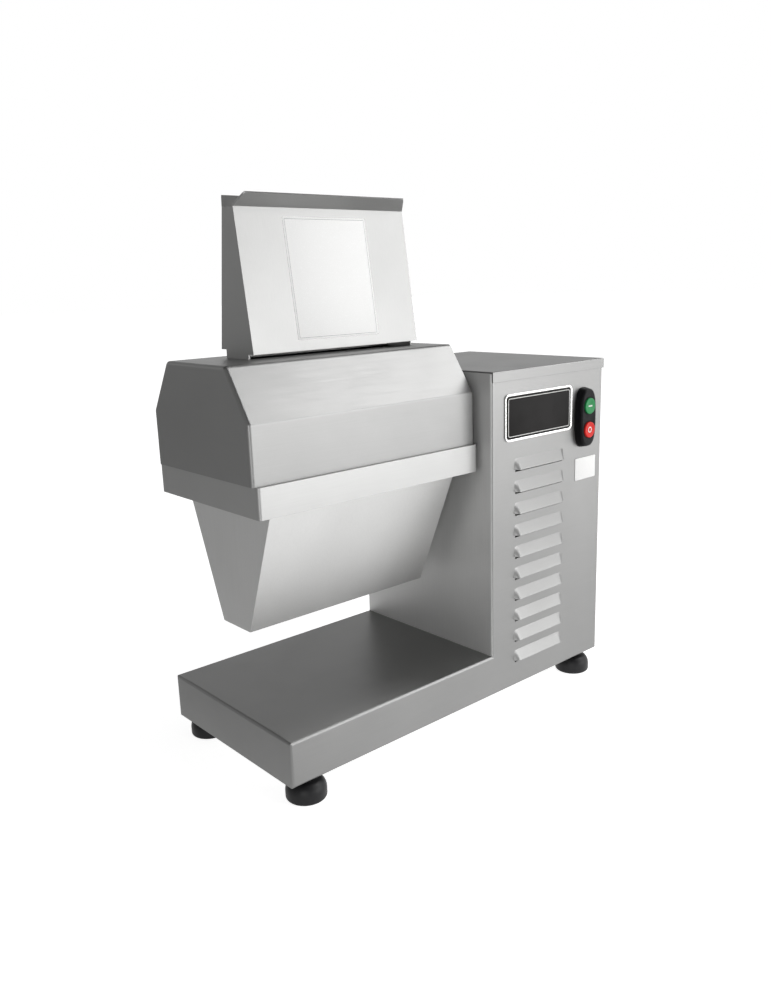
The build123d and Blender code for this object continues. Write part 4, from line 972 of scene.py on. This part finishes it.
class TENDERIZER_OT_stage(bpy.types.Operator):
    """Floor, lights, world and camera"""

    bl_idname = "tenderizer.stage"
    bl_label = "Stage"

    def execute(self, context):
        context.scene.view_settings.view_transform = "Standard"
        self.floor()
        self.world(context)
        self.lamp("front softbox", (1.20, -2.05, 0.50), (1.9, 1.0), 20)
        self.lamp("upper softbox", (1.68, -1.10, 1.95), (2.0, 1.5), 38)
        self.lamp("edge softbox", (-1.75, -1.50, 0.45), (0.7, 1.0), 11)
        self.camera()
        return {"FINISHED"}

    def backdrop_rays(self, tree, shade):
        """1 for camera rays, the shade for glossy and transmission rays and 0 for the others."""
        path = tree.nodes.new("ShaderNodeLightPath").outputs
        mirrored = math_node(tree, "MAXIMUM", path["Is Glossy Ray"], path["Is Transmission Ray"])
        shaded = math_node(tree, "MULTIPLY", mirrored, shade)
        return math_node(tree, "MAXIMUM", path["Is Camera Ray"], shaded)

    def floor(self):
        """White to the camera. Mirrored rays see it turn grey on the object's left."""
        side, drop, grey = 40, 0.0002, 0.82
        dark_x, light_x, darkest = -0.42, -0.12, 0.2
        near, far, near_glow = 0.8, 3.0, 0.85
        bpy.ops.object.select_all(action="DESELECT")
        bpy.ops.mesh.primitive_plane_add(size=side, location=(0, 0, -drop))
        floor = bpy.context.active_object
        floor.name = "floor"
        material, tree, shader = new_material("pale floor")
        shader.inputs["Base Color"].default_value = (grey, grey, grey, 1)
        shader.inputs["Roughness"].default_value = 0.9
        shader.inputs["Specular IOR Level"].default_value = 0.0
        shader.inputs["Emission Color"].default_value = (1, 1, 1, 1)
        place = tree.nodes.new("ShaderNodeTexCoord")
        across = tree.nodes.new("ShaderNodeSeparateXYZ")
        tree.links.new(place.outputs["Object"], across.inputs["Vector"])
        shade = map_range(tree, across.outputs["X"], dark_x, light_x, darkest, 1.0)
        # it glows more far away, where the lamps don't reach, so that it runs into the backdrop
        distance = tree.nodes.new("ShaderNodeVectorMath")
        distance.operation = "LENGTH"
        tree.links.new(place.outputs["Object"], distance.inputs[0])
        strength = map_range(tree, distance.outputs["Value"], near, far, near_glow, 1.0)
        glow = math_node(tree, "MULTIPLY", self.backdrop_rays(tree, shade), strength)
        tree.links.new(glow, shader.inputs["Emission Strength"])
        floor.data.materials.append(material)

    def world(self, context):
        """White to the camera, with a faint grey light of its own.

        Mirrored rays see the white end under a grey ceiling and darken to the left.
        """
        ambient, ceiling_start, ceiling_end = 0.14, radians(16), radians(40)
        dark_x, darkest = -0.75, 0.3
        world = context.scene.world or bpy.data.worlds.new("studio")
        context.scene.world = world
        world.use_nodes = True
        tree = world.node_tree
        background = tree.nodes["Background"]
        background.inputs["Strength"].default_value = 1.0
        mix = tree.nodes.new("ShaderNodeMix")
        mix.data_type = "RGBA"
        mix.inputs["A"].default_value = (ambient, ambient, ambient, 1)
        mix.inputs["B"].default_value = (1, 1, 1, 1)
        direction = tree.nodes.new("ShaderNodeTexCoord")
        parts = tree.nodes.new("ShaderNodeSeparateXYZ")
        tree.links.new(direction.outputs["Generated"], parts.inputs["Vector"])
        under_ceiling = map_range(
            tree, parts.outputs["Z"], sin(ceiling_start), sin(ceiling_end), 1.0, 0.0)
        shade = map_range(tree, parts.outputs["X"], dark_x, 0.0, darkest, 1.0)
        seen = math_node(tree, "MULTIPLY", under_ceiling, shade)
        tree.links.new(self.backdrop_rays(tree, seen), mix.inputs["Factor"])
        tree.links.new(mix.outputs["Result"], background.inputs["Color"])

    def lamp(self, name, place, size, watts):
        """A soft box aimed at the middle of the object."""
        target = Vector((0.0, 0.0, 0.25))
        data = bpy.data.lights.new(name, "AREA")
        data.shape = "RECTANGLE"
        data.size, data.size_y = size
        data.energy = watts
        lamp = bpy.data.objects.new(name, data)
        bpy.context.collection.objects.link(lamp)
        lamp.location = place
        lamp.rotation_euler = (target - Vector(place)).to_track_quat("-Z", "Y").to_euler()

    def camera(self):
        """The photograph's viewpoint: azimuth, elevation, a small roll and its focal length."""
        azimuth, elevation, roll = radians(-40.93), radians(13.67), radians(-1.86)
        place = Vector((-0.6378, -0.7212, 0.4726))
        focal_pixels = 897.2
        long_side_pixels = 1000.0
        sensor = 36.0
        forward = Vector((
            -sin(azimuth) * cos(elevation), cos(azimuth) * cos(elevation), -sin(elevation)))
        right = Vector((cos(azimuth), sin(azimuth), 0))
        up = right.cross(forward)
        rolled_right = right * cos(roll) + up * sin(roll)
        rolled_up = up * cos(roll) - right * sin(roll)
        data = bpy.data.cameras.new("camera")
        data.sensor_fit = "AUTO"
        data.sensor_width = sensor
        data.lens = focal_pixels / long_side_pixels * sensor
        data.clip_start, data.clip_end = 0.02, 100
        camera = bpy.data.objects.new("camera", data)
        bpy.context.collection.objects.link(camera)
        turn = Matrix((rolled_right, rolled_up, -forward)).transposed()
        camera.matrix_world = Matrix.Translation(place) @ turn.to_4x4()
        bpy.context.scene.camera = camera


class TENDERIZER_PT_panel(bpy.types.Panel):
    """Settings and steps of the tenderizer"""

    bl_idname = "TENDERIZER_PT_panel"
    bl_label = "Tenderizer"
    bl_space_type = "VIEW_3D"
    bl_region_type = "UI"
    bl_category = "Tenderizer"

    def draw(self, context):
        for settings in (sheet_settings(), detail_settings()):
            for label in settings.bl_rna.properties.keys():
                if label not in ("rna_type", "name"):
                    self.layout.prop(settings, label)
        for step in steps:
            self.layout.operator(step.bl_idname)


steps = [
    TENDERIZER_OT_finishes,
    TENDERIZER_OT_case,
    TENDERIZER_OT_head,
    TENDERIZER_OT_feet,
    TENDERIZER_OT_switch,
    TENDERIZER_OT_plates,
    TENDERIZER_OT_fasteners,
    TENDERIZER_OT_stage,
]


def register():
    for kind in (TenderizerSheet, TenderizerDetails, *steps, TENDERIZER_PT_panel):
        bpy.utils.register_class(kind)
    bpy.types.Scene.tenderizer_sheet = PointerProperty(type=TenderizerSheet)
    bpy.types.Scene.tenderizer_details = PointerProperty(type=TenderizerDetails)


def unregister():
    del bpy.types.Scene.tenderizer_details
    del bpy.types.Scene.tenderizer_sheet
    for kind in (TENDERIZER_PT_panel, *reversed(steps), TenderizerDetails, TenderizerSheet):
        bpy.utils.unregister_class(kind)


def main():
    register()
    for step in steps:
        group, name = step.bl_idname.split(".")
        getattr(getattr(bpy.ops, group), name)()


if __name__ == "__main__":
    main()
